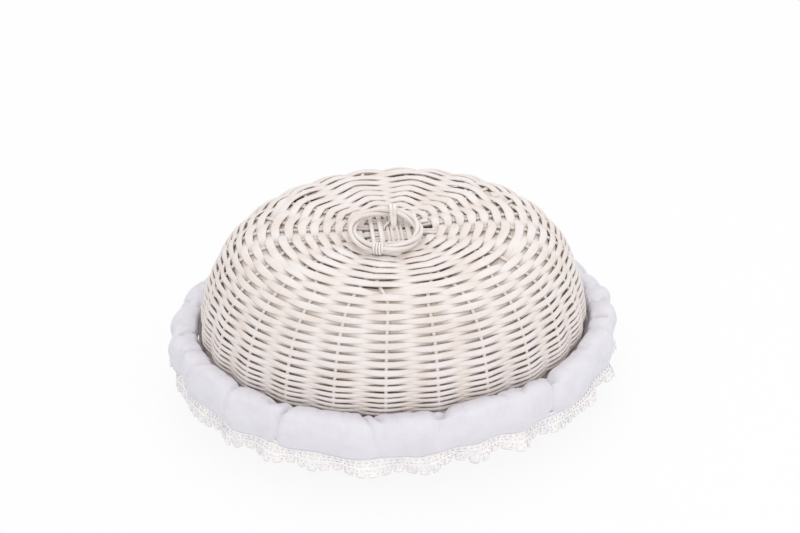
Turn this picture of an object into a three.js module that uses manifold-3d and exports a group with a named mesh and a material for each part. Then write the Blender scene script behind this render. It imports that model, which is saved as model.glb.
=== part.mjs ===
// Oval wicker basket with a domed wicker lid. A cotton liner covers the inside of the basket, and its
// gathered frill hangs over the rim and ends in a lace edging. The lid stands inside the rim and has a
// wicker ring for a handle. Millimetres, +Z up, X along the basket's length. The origin is on the floor
// under the middle of the basket.
//
// Both shells are woven as a basket maker weaves a bowl. Twelve rods cross at the middle: eight lie along
// the basket and are pushed through slits in the four that lie across it. Their 24 ends run outwards in
// pairs and then open into single ribs. Two weavers are chased round them: each passes outside one rib and
// inside the next, and the second lies on the other side from the first.
import * as THREE from "three";
import { mergeVertices } from "three/addons/utils/BufferGeometryUtils.js";
import Module from "manifold-3d";

const wasm = await Module();
wasm.setup();

// Lid
const lidLength = 340; // over the weave
const lidWidth = 261; // over the weave
const lidRise = 94; // from the top of the frill to the top of the crown
const crownFlatness = 7.3; // 2 makes an even dome of the lid, and more a flat crown with full shoulders
const wallLeanIn = 1.3; // 2 makes the lid's wall upright at its foot, and less leans it in
const lidTuck = 0.5; // how far the lid draws in below the frill
const lidRowGap = 1; // between one row of weave and the next

// Basket
const rimHeight = 60; // of the ribs' tops above the floor
const lidPlay = 7.5; // how much wider the rim is than the lid, between the ribs, on each side
const wallLean = 62; // degrees from the floor
const baseTurn = 20; // radius between base and wall
const baseHollow = 1.5; // how much higher the middle of the base is
const basketRowGap = 2.4;

// Rods and weavers
const ribCount = 24;
const ribWidth = 3;
const ribThick = 2.4;
const weaverWidth = 5.2;
const weaverThick = 1.6;
const seatGap = 0.3; // between pieces that touch
const weaveGap = 0.5; // between a weaver and the ribs, which bend across it
const ribSlant = 2; // how much wider a rib is along a weaver where it runs aslant
const pairPitch = 3.35; // between the two rods of a pair
const fanRadius = 21; // where the pairs of ribs have reached their own directions
const fanAngles = [14, 40, 76]; // degrees from the length to the three pairs of a quarter, where they fan out
const spokeAngles = [8, 35, 72]; // the same where the pairs begin to open: the first runs along the basket
const crossRoom = 2; // between the fan and the innermost row of weave
const openFrom = 0.46; // share of a shell's half width at which the pairs begin to open
const openTo = 0.76; // share at which the ribs are evenly spaced
const singleFrom = 0.66; // share from which the weavers pass the ribs one by one
const ovalGrowth = 1.4; // 1 makes every round of the weave as oval as the last, more a rounder middle
const tieCane = 1; // thickness of the cane that holds the cross together

// Hoops of two twisted rods: the borders of both shells and the foot of the basket
const hoopRod = 3.6; // diameter of each rod
const hoopGap = 0.5; // between them
const hoopLay = 4.5; // turns of the twist in one round
const hoopSteps = ribCount;
const footSink = 0.5; // depth to which the foot is trimmed flat

// Handle: one rod wound three times round into a ring, bound with cane at the front and looped to the crown
const handleDiameter = 56; // to the middle of the bundle, across
const handleOval = 0.92; // how much less it is from back to front
const handleRod = 3.6; // diameter
const handleRounds = 3;
const handleBack = 11.5; // where the ring is tied, from the crown's middle
const handleTwists = 5; // turns of the lay in all the rounds together
const handleSkew = -20; // degrees by which the ring has slid round in its loop
const bindingCane = 1.1; // diameter
const bindingTurns = 4;
const loopWidth = 2.4; // of the flat cane that ties the ring down
const loopThick = 1;
const loopSlack = 3; // free height in the loop above the ring

// Cloth
const clothThick = 1.2;
const frillReach = 17; // from the middle of the rim border to the widest part of the frill
const frillDrop = 28; // from the top of the frill to its hem
const frillTuck = 2.5; // how far the hem draws in below the widest part
const foldCount = 22;
const foldDepth = 4.6; // from the bottom of a fold to the top of a puff
const elasticThick = 2;
const laceDrop = 17; // below the hem
const laceTuck = 4; // sewn up behind the hem
const laceThick = 0.8;
const laceLean = 1.5; // how far its edge draws in
const scallopDepth = 3.5;
const clothSteps = 4 * foldCount; // the lace has a scallop in every second step

const tau = 2 * Math.PI;
const degree = Math.PI / 180;
const up = new THREE.Vector3(0, 0, 1);
const mix = (a, b, t) => a + (b - a) * t;
const wrapped = (k) => ((k % ribCount) + ribCount) % ribCount;
const vec = (x, y, z) => new THREE.Vector3(x, y, z);

// How far a weaver's middle lies from the middle of a rib that it passes, so that it clears the rib's edges
// on its way to the far side of the next one
function weaveOffset(spacing) {
  const beside = ribThick / 2 + weaveGap + weaverThick / 2;
  return beside / (1 - (ribWidth + ribSlant) / spacing);
}
const innermostRow = fanRadius + weaverWidth / 2 + crossRoom;
const narrowestFan = Math.min(
  2 * fanAngles[0],
  fanAngles[1] - fanAngles[0],
  fanAngles[2] - fanAngles[1],
  180 - 2 * fanAngles[2],
);
const weaveDepth = weaveOffset(innermostRow * narrowestFan * degree - pairPitch) + weaverThick / 2;
const wallDepth = weaveOffset((tau * lidWidth) / 2 / ribCount) + weaverThick / 2;
const hoopOffset = (hoopRod + hoopGap) / 2;
const hoopRadius = hoopOffset + hoopRod / 2;
const rodFlat = (hoopRod / 2) * Math.cos(Math.PI / 4); // from the middle of a rod to its flat sides
const footHeight = 2 * (hoopOffset + rodFlat) - footSink;
const baseHeight = footHeight + 2 * seatGap + wallDepth; // of the ribs at the edge of the base
const lidHalfWidth = lidWidth / 2 - wallDepth;
const ovalness = (lidLength - lidWidth) / 2; // how much longer than wide each shell is, in half lengths

// A closed body skinned over rings of corners, with flat ends or, on a loop, joined end to end
function skin(rings, isLoop = false) {
  const sides = rings[0].length;
  const indices = [];
  const spans = isLoop ? rings.length : rings.length - 1;
  for (let i = 0; i < spans; i++) {
    const next = (i + 1) % rings.length;
    for (let j = 0; j < sides; j++) {
      const a = i * sides + j;
      const b = i * sides + ((j + 1) % sides);
      const c = next * sides + ((j + 1) % sides);
      const d = next * sides + j;
      indices.push(a, b, c, a, c, d);
    }
  }
  if (!isLoop) {
    const last = (rings.length - 1) * sides;
    for (let j = 1; j < sides - 1; j++) {
      indices.push(0, j + 1, j);
      indices.push(last, last + j, last + j + 1);
    }
  }
  const geometry = new THREE.BufferGeometry().setFromPoints(rings.flat());
  geometry.setIndex(indices);
  return facingOut(geometry);
}

// Turns every face of a closed body round if they face inwards
function facingOut(geometry) {
  const p = geometry.getAttribute("position");
  const index = geometry.getIndex().array;
  const [a, b, c] = [vec(), vec(), vec()];
  let volume = 0;
  for (let i = 0; i < index.length; i += 3) {
    a.fromBufferAttribute(p, index[i]);
    b.fromBufferAttribute(p, index[i + 1]);
    c.fromBufferAttribute(p, index[i + 2]);
    volume += a.dot(b.cross(c));
  }
  if (volume < 0) geometry.setIndex(Array.from(index).reverse());
  geometry.computeVertexNormals();
  return geometry;
}

const flatSection = (width, thick) =>
  [
    [-1, -1],
    [1, -1],
    [1, 1],
    [-1, 1],
  ].map(([i, j]) => [(i * width) / 2, (j * thick) / 2]);

const roundSection = (diameter, sides) =>
  Array.from({ length: sides }, (_, j) => {
    const angle = ((j + 0.5) * tau) / sides;
    return [(diameter / 2) * Math.cos(angle), (diameter / 2) * Math.sin(angle)];
  });

// A strand that follows a line of places. Its section, which is one for all the places or one for each,
// stands square to the line and is turned to the outward directions.
function strand(places, outwards, section, isLoop = false) {
  const count = places.length;
  const sectionAt = Array.isArray(section[0][0]) ? (i) => section[i] : () => section;
  const rings = places.map((place, i) => {
    const before = places[isLoop ? (i + count - 1) % count : Math.max(0, i - 1)];
    const after = places[isLoop ? (i + 1) % count : Math.min(count - 1, i + 1)];
    const line = after.clone().sub(before);
    const across = vec().crossVectors(outwards[i], line).normalize();
    const outward = vec().crossVectors(line, across).normalize();
    const corner = ([x, y]) => place.clone().addScaledVector(across, x).addScaledVector(outward, y);
    return sectionAt(i).map(corner);
  });
  return skin(rings, isLoop);
}

function asSolid(geometry) {
  const bare = new THREE.BufferGeometry();
  bare.setAttribute("position", geometry.getAttribute("position"));
  bare.setIndex(geometry.getIndex());
  const merged = mergeVertices(bare, 1e-4);
  const mesh = new wasm.Mesh({
    numProp: 3,
    vertProperties: merged.getAttribute("position").array,
    triVerts: new Uint32Array(merged.getIndex().array),
  });
  return new wasm.Manifold(mesh);
}

function cut(geometry, tool) {
  const mesh = asSolid(geometry).subtract(asSolid(tool)).getMesh();
  const out = new THREE.BufferGeometry();
  out.setAttribute("position", new THREE.BufferAttribute(mesh.vertProperties, 3));
  out.setIndex(new THREE.BufferAttribute(mesh.triVerts, 1));
  out.computeVertexNormals();
  return out;
}

// A shell is drawn by its meridian: points (half width, height) from the middle of the cross to the border.
// Every rib follows it, and the weave, the borders and the liner are placed from the ribs.
class Shell {
  constructor(meridian, fullLengthAt, facing) {
    this.meridian = meridian;
    this.fullLengthAt = fullLengthAt;
    this.facing = facing; // 1 if its outside faces up at the middle, -1 if down
    this.widest = Math.max(...meridian.map((p) => p.x));
    this.length = [0];
    for (let j = 1; j < meridian.length; j++) {
      this.length.push(this.length[j - 1] + meridian[j].distanceTo(meridian[j - 1]));
    }
    const ribFrames = (k) => meridian.map((_, j) => this.frameAt(k, Math.max(1, j)));
    this.ribs = Array.from({ length: ribCount }, (_, k) => ribFrames(k));
  }

  // The plan is nearly round at the middle and grows into the full oval
  halfLength(w) {
    return w + ovalness * Math.min(1, w / this.fullLengthAt) ** ovalGrowth;
  }

  onOval(w, angle, z) {
    return vec(this.halfLength(w) * Math.cos(angle), w * Math.sin(angle), z);
  }

  outwardInPlan(w, angle) {
    return vec(w * Math.cos(angle), this.halfLength(w) * Math.sin(angle), 0).normalize();
  }

  // Direction of a pair of ribs. Pairs 0 to 2 lie in the first quarter, and the other quarters mirror it.
  pairAngle(pair, w) {
    const inQuarter = ribCount / 8;
    const quarter = Math.floor(pair / inQuarter);
    const place = pair - quarter * inQuarter;
    const openAt = openFrom * this.widest;
    const outwards = THREE.MathUtils.clamp((w - fanRadius) / (openAt - fanRadius), 0, 1);
    const at = (i) => mix(fanAngles[i], spokeAngles[i], outwards) * degree;
    if (quarter % 2 === 0) return (quarter * tau) / 4 + at(place);
    return ((quarter + 1) * tau) / 4 - at(inQuarter - 1 - place);
  }

  // Ribs 0 and 1, 2 and 3 and so on start side by side and open into an even spacing
  ribAngle(k, w) {
    const even = ((k + 0.5) * tau) / ribCount;
    const side = k % 2 === 0 ? -1 : 1;
    const sideBySide = side * Math.asin(pairPitch / 2 / Math.max(w, fanRadius));
    const opened = THREE.MathUtils.smoothstep(w / this.widest, openFrom, openTo);
    return mix(this.pairAngle(Math.floor(k / 2), w) + sideBySide, even, opened);
  }

  frameAt(k, j) {
    const at = (i) => {
      const { x, y } = this.meridian[i];
      return this.onOval(x, this.ribAngle(k, x), y);
    };
    const along = at(Math.min(this.meridian.length - 1, j + 1))
      .sub(at(Math.max(1, j - 1)))
      .normalize();
    const w = this.meridian[j].x;
    const angle = this.ribAngle(k, w);
    const round = vec(-this.halfLength(w) * Math.sin(angle), w * Math.cos(angle), 0);
    const outward = vec().crossVectors(along, round).normalize().multiplyScalar(this.facing);
    return { place: at(j), outward };
  }

  // Place and directions at a distance s along rib k
  frame(s, k) {
    const rib = this.ribs[wrapped(k)];
    let j = 1;
    while (j < this.length.length - 2 && this.length[j + 1] < s) j++;
    const t = (s - this.length[j]) / (this.length[j + 1] - this.length[j]);
    return {
      place: rib[j].place.clone().lerp(rib[j + 1].place, t),
      outward: rib[j].outward.clone().lerp(rib[j + 1].outward, t).normalize(),
    };
  }

  // The same between the ribs, where the wall is straight from rib to rib
  frameBetween(s, ribs) {
    const k = Math.floor(ribs);
    const [here, next] = [this.frame(s, k), this.frame(s, k + 1)];
    return {
      place: here.place.lerp(next.place, ribs - k),
      outward: here.outward.lerp(next.outward, ribs - k).normalize(),
    };
  }

  get end() {
    return this.length.at(-1);
  }

  // Distance along the meridian at which the ribs reach a half width, on their way out
  reach(halfWidth) {
    const j = this.meridian.findIndex((p) => p.x >= halfWidth);
    const t = (halfWidth - this.meridian[j - 1].x) / (this.meridian[j].x - this.meridian[j - 1].x);
    return mix(this.length[j - 1], this.length[j], t);
  }
}

// Basket: a nearly flat base, a turn of even radius and a straight flaring wall
const lean = wallLean * degree;
const rimHalfWidth = lidWidth / 2 + lidPlay;
const wallTop = new THREE.Vector2(rimHalfWidth, rimHeight);
const wallDirection = new THREE.Vector2(Math.cos(lean), Math.sin(lean));
const inFromWall = new THREE.Vector2(-wallDirection.y, wallDirection.x);
const turnTop = baseHeight + baseTurn * (1 - Math.cos(lean));
const wallLength = (rimHeight - turnTop) / Math.sin(lean);
const wallFoot = wallTop.clone().addScaledVector(wallDirection, -wallLength);
const baseHalfWidth = wallFoot.x - baseTurn * Math.sin(lean);
const turnSteps = 4;
const basketMeridian = [
  new THREE.Vector2(0, baseHeight + baseHollow),
  new THREE.Vector2(fanRadius, baseHeight + baseHollow),
  new THREE.Vector2((fanRadius + baseHalfWidth) / 2, baseHeight + baseHollow / 2),
];
for (let i = 0; i <= turnSteps; i++) {
  const angle = (i * lean) / turnSteps;
  const centre = new THREE.Vector2(baseHalfWidth, baseHeight + baseTurn);
  const fromCentre = new THREE.Vector2(Math.sin(angle), -Math.cos(angle));
  basketMeridian.push(centre.addScaledVector(fromCentre, baseTurn));
}
basketMeridian.push(wallTop);
const basket = new Shell(basketMeridian, baseHalfWidth, -1);
const rimHoop = wallTop.clone().addScaledVector(wallDirection, hoopRadius + seatGap);

// The liner lies on the inside of the weave, and the lid's border rests on the liner where the wall is wide
// enough, so the lid's height in the basket follows from its width
const linerDepth = Math.max(wallDepth, hoopRadius) + seatGap;
const baseLinerDepth = weaveDepth + seatGap; // over the cross, where the weave is thickest
const lidHoopWidth = lidHalfWidth - lidTuck;
const lidSeat = linerDepth + clothThick + seatGap + hoopRadius;
const seatFoot = wallFoot.clone().addScaledVector(inFromWall, lidSeat);
const lidHoopHeight = seatFoot.y + ((lidHoopWidth - seatFoot.x) * wallDirection.y) / wallDirection.x;

// Lid outline, from the crown down to the top of the frill: a superellipse with a power for each axis
class DomeOutline extends THREE.Curve {
  constructor(halfWidth, foot, rise) {
    super();
    Object.assign(this, { halfWidth, foot, rise });
    this.start = Math.acos((fanRadius / halfWidth) ** (crownFlatness / 2));
  }

  getPoint(t, target = new THREE.Vector2()) {
    const angle = this.start * (1 - t);
    const w = this.halfWidth * Math.cos(angle) ** (2 / crownFlatness);
    return target.set(w, this.foot + this.rise * Math.sin(angle) ** (2 / wallLeanIn));
  }
}

// The frill turns over the rim border in two flat facets that clear the border's rods
const rimTurn = 45; // degrees that a facet turns
const rimCloth = (hoopRadius + seatGap) / Math.cos((rimTurn / 2) * degree) + clothThick; // to its shown side
const frillTop = rimHoop.y + rimCloth;
const domeSteps = 8;
const dome = new DomeOutline(lidHalfWidth, frillTop, lidRise - weaveDepth);
const [crownEdge, ...shoulder] = dome.getPoints(domeSteps);
const lidMeridian = [
  new THREE.Vector2(0, crownEdge.y),
  crownEdge,
  crownEdge.clone().lerp(shoulder[0], 0.5),
  ...shoulder,
  new THREE.Vector2(lidHoopWidth, lidHoopHeight + hoopOffset + rodFlat + seatGap),
];
const lid = new Shell(lidMeridian, lidHalfWidth, 1);
const crownHeight = lidMeridian[0].y;

// The cross: rods 0 to 7 lie along the basket, and rods 8 to 11 lie across it and are slit. The loop of the
// handle goes down through a gap in the middle of both groups.
const lengthwiseRods = ribCount / 3;
const crosswiseRods = ribCount / 6;
const lengthwiseGap = loopWidth + 4 * seatGap; // between the two middle rods
const crosswiseGap = loopThick + 2 * seatGap;
const groupHalf = (count, gap) => gap / 2 + (count / 2 - 1) * pairPitch + ribWidth + seatGap;
const lengthwiseHalf = groupHalf(lengthwiseRods, lengthwiseGap);
const crosswiseHalf = groupHalf(crosswiseRods, crosswiseGap);
const loopFoot = crosswiseHalf + loopThick / 2; // where the loop comes up again
const slitHeight = ribThick + 2 * seatGap;
const splitThick = slitHeight + ribThick; // each half of a split rod keeps half its thickness
const splitTaper = 1.5;
const fanStagger = 0.3; // how much later a rod turns for each millimetre that it lies in from the outermost

// One rod of a shell: in along one rib, straight through the cross and out along the rib opposite
function rod(shell, number) {
  const isSlit = number >= lengthwiseRods;
  const [count, gap] = isSlit ? [crosswiseRods, crosswiseGap] : [lengthwiseRods, lengthwiseGap];
  const fromMiddle = (isSlit ? number - lengthwiseRods : number) - (count - 1) / 2;
  const inward = gap / 2 + ribWidth / 2 - pairPitch / 2;
  const place = fromMiddle * pairPitch + Math.sign(fromMiddle) * inward;
  const forward = isSlit ? vec(0, 1, 0) : vec(1, 0, 0);
  const sideways = isSlit ? vec(-1, 0, 0) : vec(0, 1, 0);
  const height = shell.meridian[0].y;
  const outward = up.clone().multiplyScalar(shell.facing);
  const inCross = (along, thick) => {
    const centre = forward.clone().multiplyScalar(along).addScaledVector(sideways, place);
    return { centre: centre.setZ(height), outward, thick };
  };
  const arm = (k) =>
    shell.ribs[wrapped(k)].slice(1).map((f) => ({ centre: f.place, outward: f.outward, thick: ribThick }));
  const nearRib = fromMiddle - 0.5 + (isSlit ? ribCount / 4 : 0);
  const farRib = (isSlit ? ribCount : ribCount / 2) - 1 - nearRib;
  const [own, other] = isSlit ? [crosswiseHalf, lengthwiseHalf] : [lengthwiseHalf, crosswiseHalf];
  const straight = (isSlit ? other + splitTaper : other) + seatGap;
  const turnAt = straight + fanStagger * (own - Math.abs(place));
  const split = (side) =>
    isSlit ? [inCross(side * (other + splitTaper), ribThick), inCross(side * other, splitThick)] : [];
  const stations = [
    ...arm(farRib).reverse(),
    inCross(-turnAt, ribThick),
    ...split(-1),
    ...split(1).reverse(),
    inCross(turnAt, ribThick),
    ...arm(nearRib),
  ];
  const body = strand(
    stations.map((station) => station.centre),
    stations.map((station) => station.outward),
    stations.map((station) => flatSection(ribWidth, station.thick)),
  );
  if (!isSlit) return body;
  const slit = new THREE.BoxGeometry(2 * ribWidth, 2 * other, slitHeight);
  slit.translate(-place, 0, height);
  return cut(body, slit);
}

// One weaver of a chased pair, from one crossing of a rib to another, both counted from the start of the
// weave. It climbs two rows in each round, because its partner lies between its rounds. Where the ribs are in
// pairs, it passes both ribs of a pair on the same side.
function weaver(shell, start, climb, first, last, parity, isPaired) {
  const frames = Array.from({ length: last - first + 1 }, (_, n) => {
    const i = first + n;
    const s = start + i * climb;
    const { place, outward } = shell.frame(s, i);
    const crossed = isPaired ? Math.floor(i / 2) : i;
    const gapSide = isPaired && i % 2 === 0 ? i - 1 : i;
    const [here, next] = [shell.frame(s, gapSide), shell.frame(s, gapSide + 1)];
    const offset = weaveOffset(here.place.distanceTo(next.place));
    place.addScaledVector(outward, crossed % 2 === parity ? offset : -offset);
    return { place, outward };
  });
  const section = flatSection(weaverWidth, weaverThick);
  return strand(
    frames.map((frame) => frame.place),
    frames.map((frame) => frame.outward),
    section,
  );
}

// The weave of a shell, from the middle to the border, with new weavers joined in where the ribs have opened.
// The second weaver lies a row outside the first, and its join is half a round away from the other.
function weave(shell, innerName, outerName, rowGap) {
  const pitch = weaverWidth + rowGap;
  const climb = (2 * pitch) / ribCount;
  const start = shell.reach(innermostRow);
  const join = Math.round((shell.reach(shell.widest * singleFrom) - start) / climb);
  const end = Math.floor((shell.end - weaverWidth / 2 - pitch - start) / climb);
  const halfRound = ribCount / 2;
  const run = (row, first, last, isPaired) =>
    weaver(shell, start + row * pitch, climb, first, last, row, isPaired);
  return [
    part(innerName + "_weaver_1", run(0, 0, join, true), willow),
    part(innerName + "_weaver_2", run(1, 0, join - halfRound, true), willow),
    part(outerName + "_weaver_1", run(0, join + 2, end, false), willow),
    part(outerName + "_weaver_2", run(1, join - halfRound + 2, end, false), willow),
  ];
}

// Cane that holds the cross together, outside the loop: over the rods of one arm and under those of the next
function crossTie(shell, round, isOverFirst) {
  const lift = ribThick / 2 + seatGap + tieCane / 2;
  const out = (round + 0.5) * tieCane + (round + 3) * seatGap;
  const [x, y] = [loopFoot + loopThick / 2 + out, lengthwiseHalf + splitTaper + out];
  const height = shell.meridian[0].y;
  const high = isOverFirst ? lift : -lift;
  const corner = (i, j) => [
    vec(i * x, j * lengthwiseHalf, height + high),
    vec(i * (x + tieCane), j * (y + tieCane / 2), height),
    vec(i * (crosswiseHalf + tieCane), j * y, height - high),
  ];
  const stations = [corner(1, 1), corner(-1, 1).reverse(), corner(-1, -1), corner(1, -1).reverse()].flat();
  const line = new THREE.CatmullRomCurve3(stations, true, "centripetal");
  const steps = 2 * stations.length;
  const places = Array.from({ length: steps }, (_, i) => line.getPoint(i / steps));
  const outwards = places.map((place) => place.clone().setZ(0).normalize());
  return strand(places, outwards, roundSection(tieCane, 4), true);
}

// A hoop of two twisted rods: really one rod that goes round twice and closes on itself
function twistedHoop(shell, w, z) {
  const rounds = 2;
  const steps = hoopSteps;
  const places = [];
  const outwards = [];
  for (let i = 0; i < rounds * steps; i++) {
    const turn = (i / steps) * ribCount;
    const k = Math.floor(turn);
    const lay = (i / steps) * tau * hoopLay;
    const corner = (n) => shell.onOval(w, shell.ribAngle(n, w), z);
    const place = corner(k).lerp(corner(k + 1), turn - k);
    const outward = shell.outwardInPlan(w, ((turn + 0.5) * tau) / ribCount);
    place.addScaledVector(outward, hoopOffset * Math.cos(lay));
    place.addScaledVector(up, hoopOffset * Math.sin(lay));
    places.push(place);
    outwards.push(outward);
  }
  return strand(places, outwards, roundSection(hoopRod, 4), true);
}

function part(name, geometry, material) {
  const mesh = new THREE.Mesh(geometry, material);
  mesh.name = name;
  return mesh;
}

const willow = new THREE.MeshStandardMaterial({ color: 0xe6dcd0, roughness: 0.62, metalness: 0 });
const cane = new THREE.MeshStandardMaterial({ color: 0xefe8dd, roughness: 0.5, metalness: 0 });
const cotton = new THREE.MeshStandardMaterial({ color: 0xf4f2f7, roughness: 0.9, metalness: 0 });
const crochet = new THREE.MeshStandardMaterial({ color: 0xf7efe6, roughness: 0.95, metalness: 0 });

// Ribs and cross of a shell
function ribbing(shell, name) {
  const rods = Array.from({ length: ribCount / 2 }, (_, i) =>
    part(`${name}_rod_${String(i + 1).padStart(2, "0")}`, rod(shell, i), willow),
  );
  return [
    ...rods,
    part(name + "_cross_tie_1", crossTie(shell, 0, true), cane),
    part(name + "_cross_tie_2", crossTie(shell, 1, false), cane),
  ];
}

// The handle lies in its own frame: the origin is the middle of the bundle where it is tied, and the ring
// runs from there to the front
const bundleReach = (handleRod + hoopGap) / Math.sqrt(3); // from the bundle's middle to a round's middle
const bundleRadius = bundleReach + handleRod / 2;

// From the middle of the ring's oval to the handle's origin
const onRing = (place) => place.setY((place.y - handleDiameter / 2) * handleOval);

function handleRing() {
  const stepsInRound = 24;
  const places = [];
  const outwards = [];
  for (let i = 0; i < handleRounds * stepsInRound; i++) {
    const angle = (i * tau) / stepsInRound;
    const lay = (i * tau * handleTwists) / (handleRounds * stepsInRound);
    const outward = vec(Math.sin(angle), Math.cos(angle), 0);
    const radius = handleDiameter / 2 + bundleReach * Math.cos(lay);
    const place = outward.clone().multiplyScalar(radius).setZ(bundleReach * Math.sin(lay));
    places.push(onRing(place));
    outwards.push(outward);
  }
  return strand(places, outwards, roundSection(handleRod, 5), true);
}

// Cane wound round the front of the ring, over the ends of its rod
function handleBinding() {
  const stepsInTurn = 6;
  const radius = bundleRadius + seatGap + bindingCane / 2;
  const pitch = bindingCane + hoopGap;
  const places = [];
  const outwards = [];
  for (let i = 0; i <= bindingTurns * stepsInTurn; i++) {
    const turn = i / stepsInTurn;
    const swing = Math.PI + ((turn - bindingTurns / 2) * pitch) / (handleDiameter / 2);
    const radial = vec(Math.sin(swing), Math.cos(swing), 0);
    const outward = radial.clone().multiplyScalar(Math.cos(turn * tau));
    outward.addScaledVector(up, Math.sin(turn * tau));
    const place = onRing(radial.multiplyScalar(handleDiameter / 2));
    places.push(place.addScaledVector(outward, radius / Math.cos(Math.PI / stepsInTurn)));
    outwards.push(outward);
  }
  return strand(places, outwards, roundSection(bindingCane, 4));
}

// The ring leans forward until it rests on the crown: its back lies over the loop of cane, its front on the
// weave
const domeRound = (share) => (1 - share ** crownFlatness) ** (1 / wallLeanIn);
const crownAt = (w) => dome.foot + dome.rise * domeRound(w / lidHalfWidth);
const handleHeight = crownHeight + weaveDepth + 2 * seatGap + loopThick + bundleRadius;
const handleReach = handleDiameter * handleOval;
const handleFront = handleReach * Math.cos(handleSkew * degree) - handleBack;
const frontHeight = crownAt(handleFront) + weaveDepth + 2 * seatGap + bindingCane + bundleRadius;
const handleLean = Math.asin((handleHeight - frontHeight) / handleReach);

// The loop goes down through the middle of the cross, under the slit rods on one side and up beside them.
// From there it passes under the ring, round its back and over it.
function handleLoop() {
  const under = splitThick / 2 + seatGap + loopThick / 2;
  const over = splitThick / 2 + loopThick;
  const round = bundleRadius + seatGap + loopThick / 2;
  const z = handleHeight;
  const stations = [
    [vec(0, 0, crownHeight + over), vec(1, 0, 0)],
    [vec(0, 0, crownHeight - splitThick / 2), vec(1, 0, 0)],
    [vec(-seatGap - loopThick / 2, 0, crownHeight - under), vec(0.5, 0, -1)],
    [vec(-loopFoot + seatGap, 0, crownHeight - under), vec(-0.5, 0, -1)],
    [vec(-loopFoot, 0, crownHeight - splitThick / 2), vec(-1, 0, 0)],
    [vec(-loopFoot, 0, crownHeight + over), vec(-1, 0.3, 0)],
    [vec(-loopFoot * 0.5, handleBack - round * 1.2, z - round), vec(-0.4, 0.3, -1)],
    [vec(-loopWidth * 0.3, handleBack + round * 0.3, z - round - seatGap), vec(0, 0.3, -1)],
    [vec(0, handleBack + round + 3 * seatGap, z), vec(0, 1, 0)],
    [vec(0, handleBack + round * 0.4, z + round + loopSlack * 0.7), vec(0, 0.4, 1)],
    [vec(0, handleBack - round * 0.7, z + round + loopSlack * 0.6), vec(0, -0.5, 1)],
    [vec(0, handleBack / 3, crownHeight + over + (z - crownHeight) * 0.6), vec(0.7, -0.7, 0.7)],
  ];
  const line = new THREE.CatmullRomCurve3(
    stations.map((station) => station[0]),
    true,
    "centripetal",
  );
  const turn = new THREE.CatmullRomCurve3(
    stations.map((station) => station[1]),
    true,
    "centripetal",
  );
  const steps = 2 * stations.length;
  const at = (curve) => Array.from({ length: steps }, (_, i) => curve.getPoint(i / steps));
  return strand(at(line), at(turn), flatSection(loopWidth, loopThick), true);
}

function buildHandle() {
  const group = new THREE.Group();
  group.position.set(0, handleBack, handleHeight);
  group.rotation.set(handleLean, 0, handleSkew * degree, "ZYX");
  group.add(part("handle_ring", handleRing(), willow), part("handle_binding", handleBinding(), cane));
  return group;
}

// Liner: a bowl of cloth along the inside of the basket, a gathered frill sewn to its top edge and turned out
// over the rim, an elastic in the frill's hem, and a lace edging sewn behind the hem
const linerTop = basket.end - hoopRadius;

function linerBowl() {
  const steps = 2 * ribCount;
  const upTheTurn = [0, turnSteps / 2, turnSteps].map((i) => basket.length.at(i - turnSteps - 2));
  const onBase = { s: basket.length.at(-turnSteps - 3), depth: baseLinerDepth };
  const stations = [onBase, ...[...upTheTurn, linerTop].map((s) => ({ s, depth: linerDepth }))];
  const ring = (s, depth) =>
    Array.from({ length: steps }, (_, i) => {
      const { place, outward } = basket.frameBetween(s, (i / steps) * ribCount);
      return place.addScaledVector(outward, -depth);
    });
  const skinAt = (thick) => stations.map(({ s, depth }) => ring(s, depth + thick));
  const middle = (thick) => vec(0, 0, basketMeridian[0].y + baseLinerDepth + thick);
  return bowlSkin(skinAt(0), skinAt(clothThick), middle(0), middle(clothThick));
}

// A bowl between two skins that both close at the middle
function bowlSkin(outer, inner, outerPole, innerPole) {
  const steps = outer[0].length;
  const rings = [...outer, ...inner.slice().reverse()];
  const points = [outerPole, ...rings.flat(), innerPole];
  const indices = [];
  const at = (ring, i) => 1 + ring * steps + (i % steps);
  for (let i = 0; i < steps; i++) {
    indices.push(0, at(0, i + 1), at(0, i));
    indices.push(points.length - 1, at(rings.length - 1, i), at(rings.length - 1, i + 1));
    for (let ring = 0; ring < rings.length - 1; ring++) {
      indices.push(at(ring, i), at(ring, i + 1), at(ring + 1, i + 1));
      indices.push(at(ring, i), at(ring + 1, i + 1), at(ring + 1, i));
    }
  }
  const geometry = new THREE.BufferGeometry().setFromPoints(points);
  geometry.setIndex(indices);
  return facingOut(geometry);
}

// How far the cloth stands out at a turn round the rim, from 0 in the bottom of a fold to 1 on a puff
function puff(turn) {
  const angle = turn * tau;
  const uneven = 1.1 * Math.sin(4 * angle) + 0.8 * Math.cos(6 * angle);
  const wave = 0.5 + 0.5 * Math.cos(foldCount * angle + uneven);
  return wave * (0.75 + 0.25 * Math.cos(10 * angle));
}

// A place beside the rim: out from the middle of the rim border and up from it
function besideRim(turn, out, rise) {
  const ribs = turn * ribCount;
  const k = Math.floor(ribs);
  const corner = (n) => basket.onOval(rimHoop.x, basket.ribAngle(n, rimHoop.x), rimHoop.y + rise);
  const outward = basket.outwardInPlan(rimHoop.x, (turn + 0.5 / ribCount) * tau);
  return corner(k)
    .lerp(corner(k + 1), ribs - k)
    .addScaledVector(outward, out);
}

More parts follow.
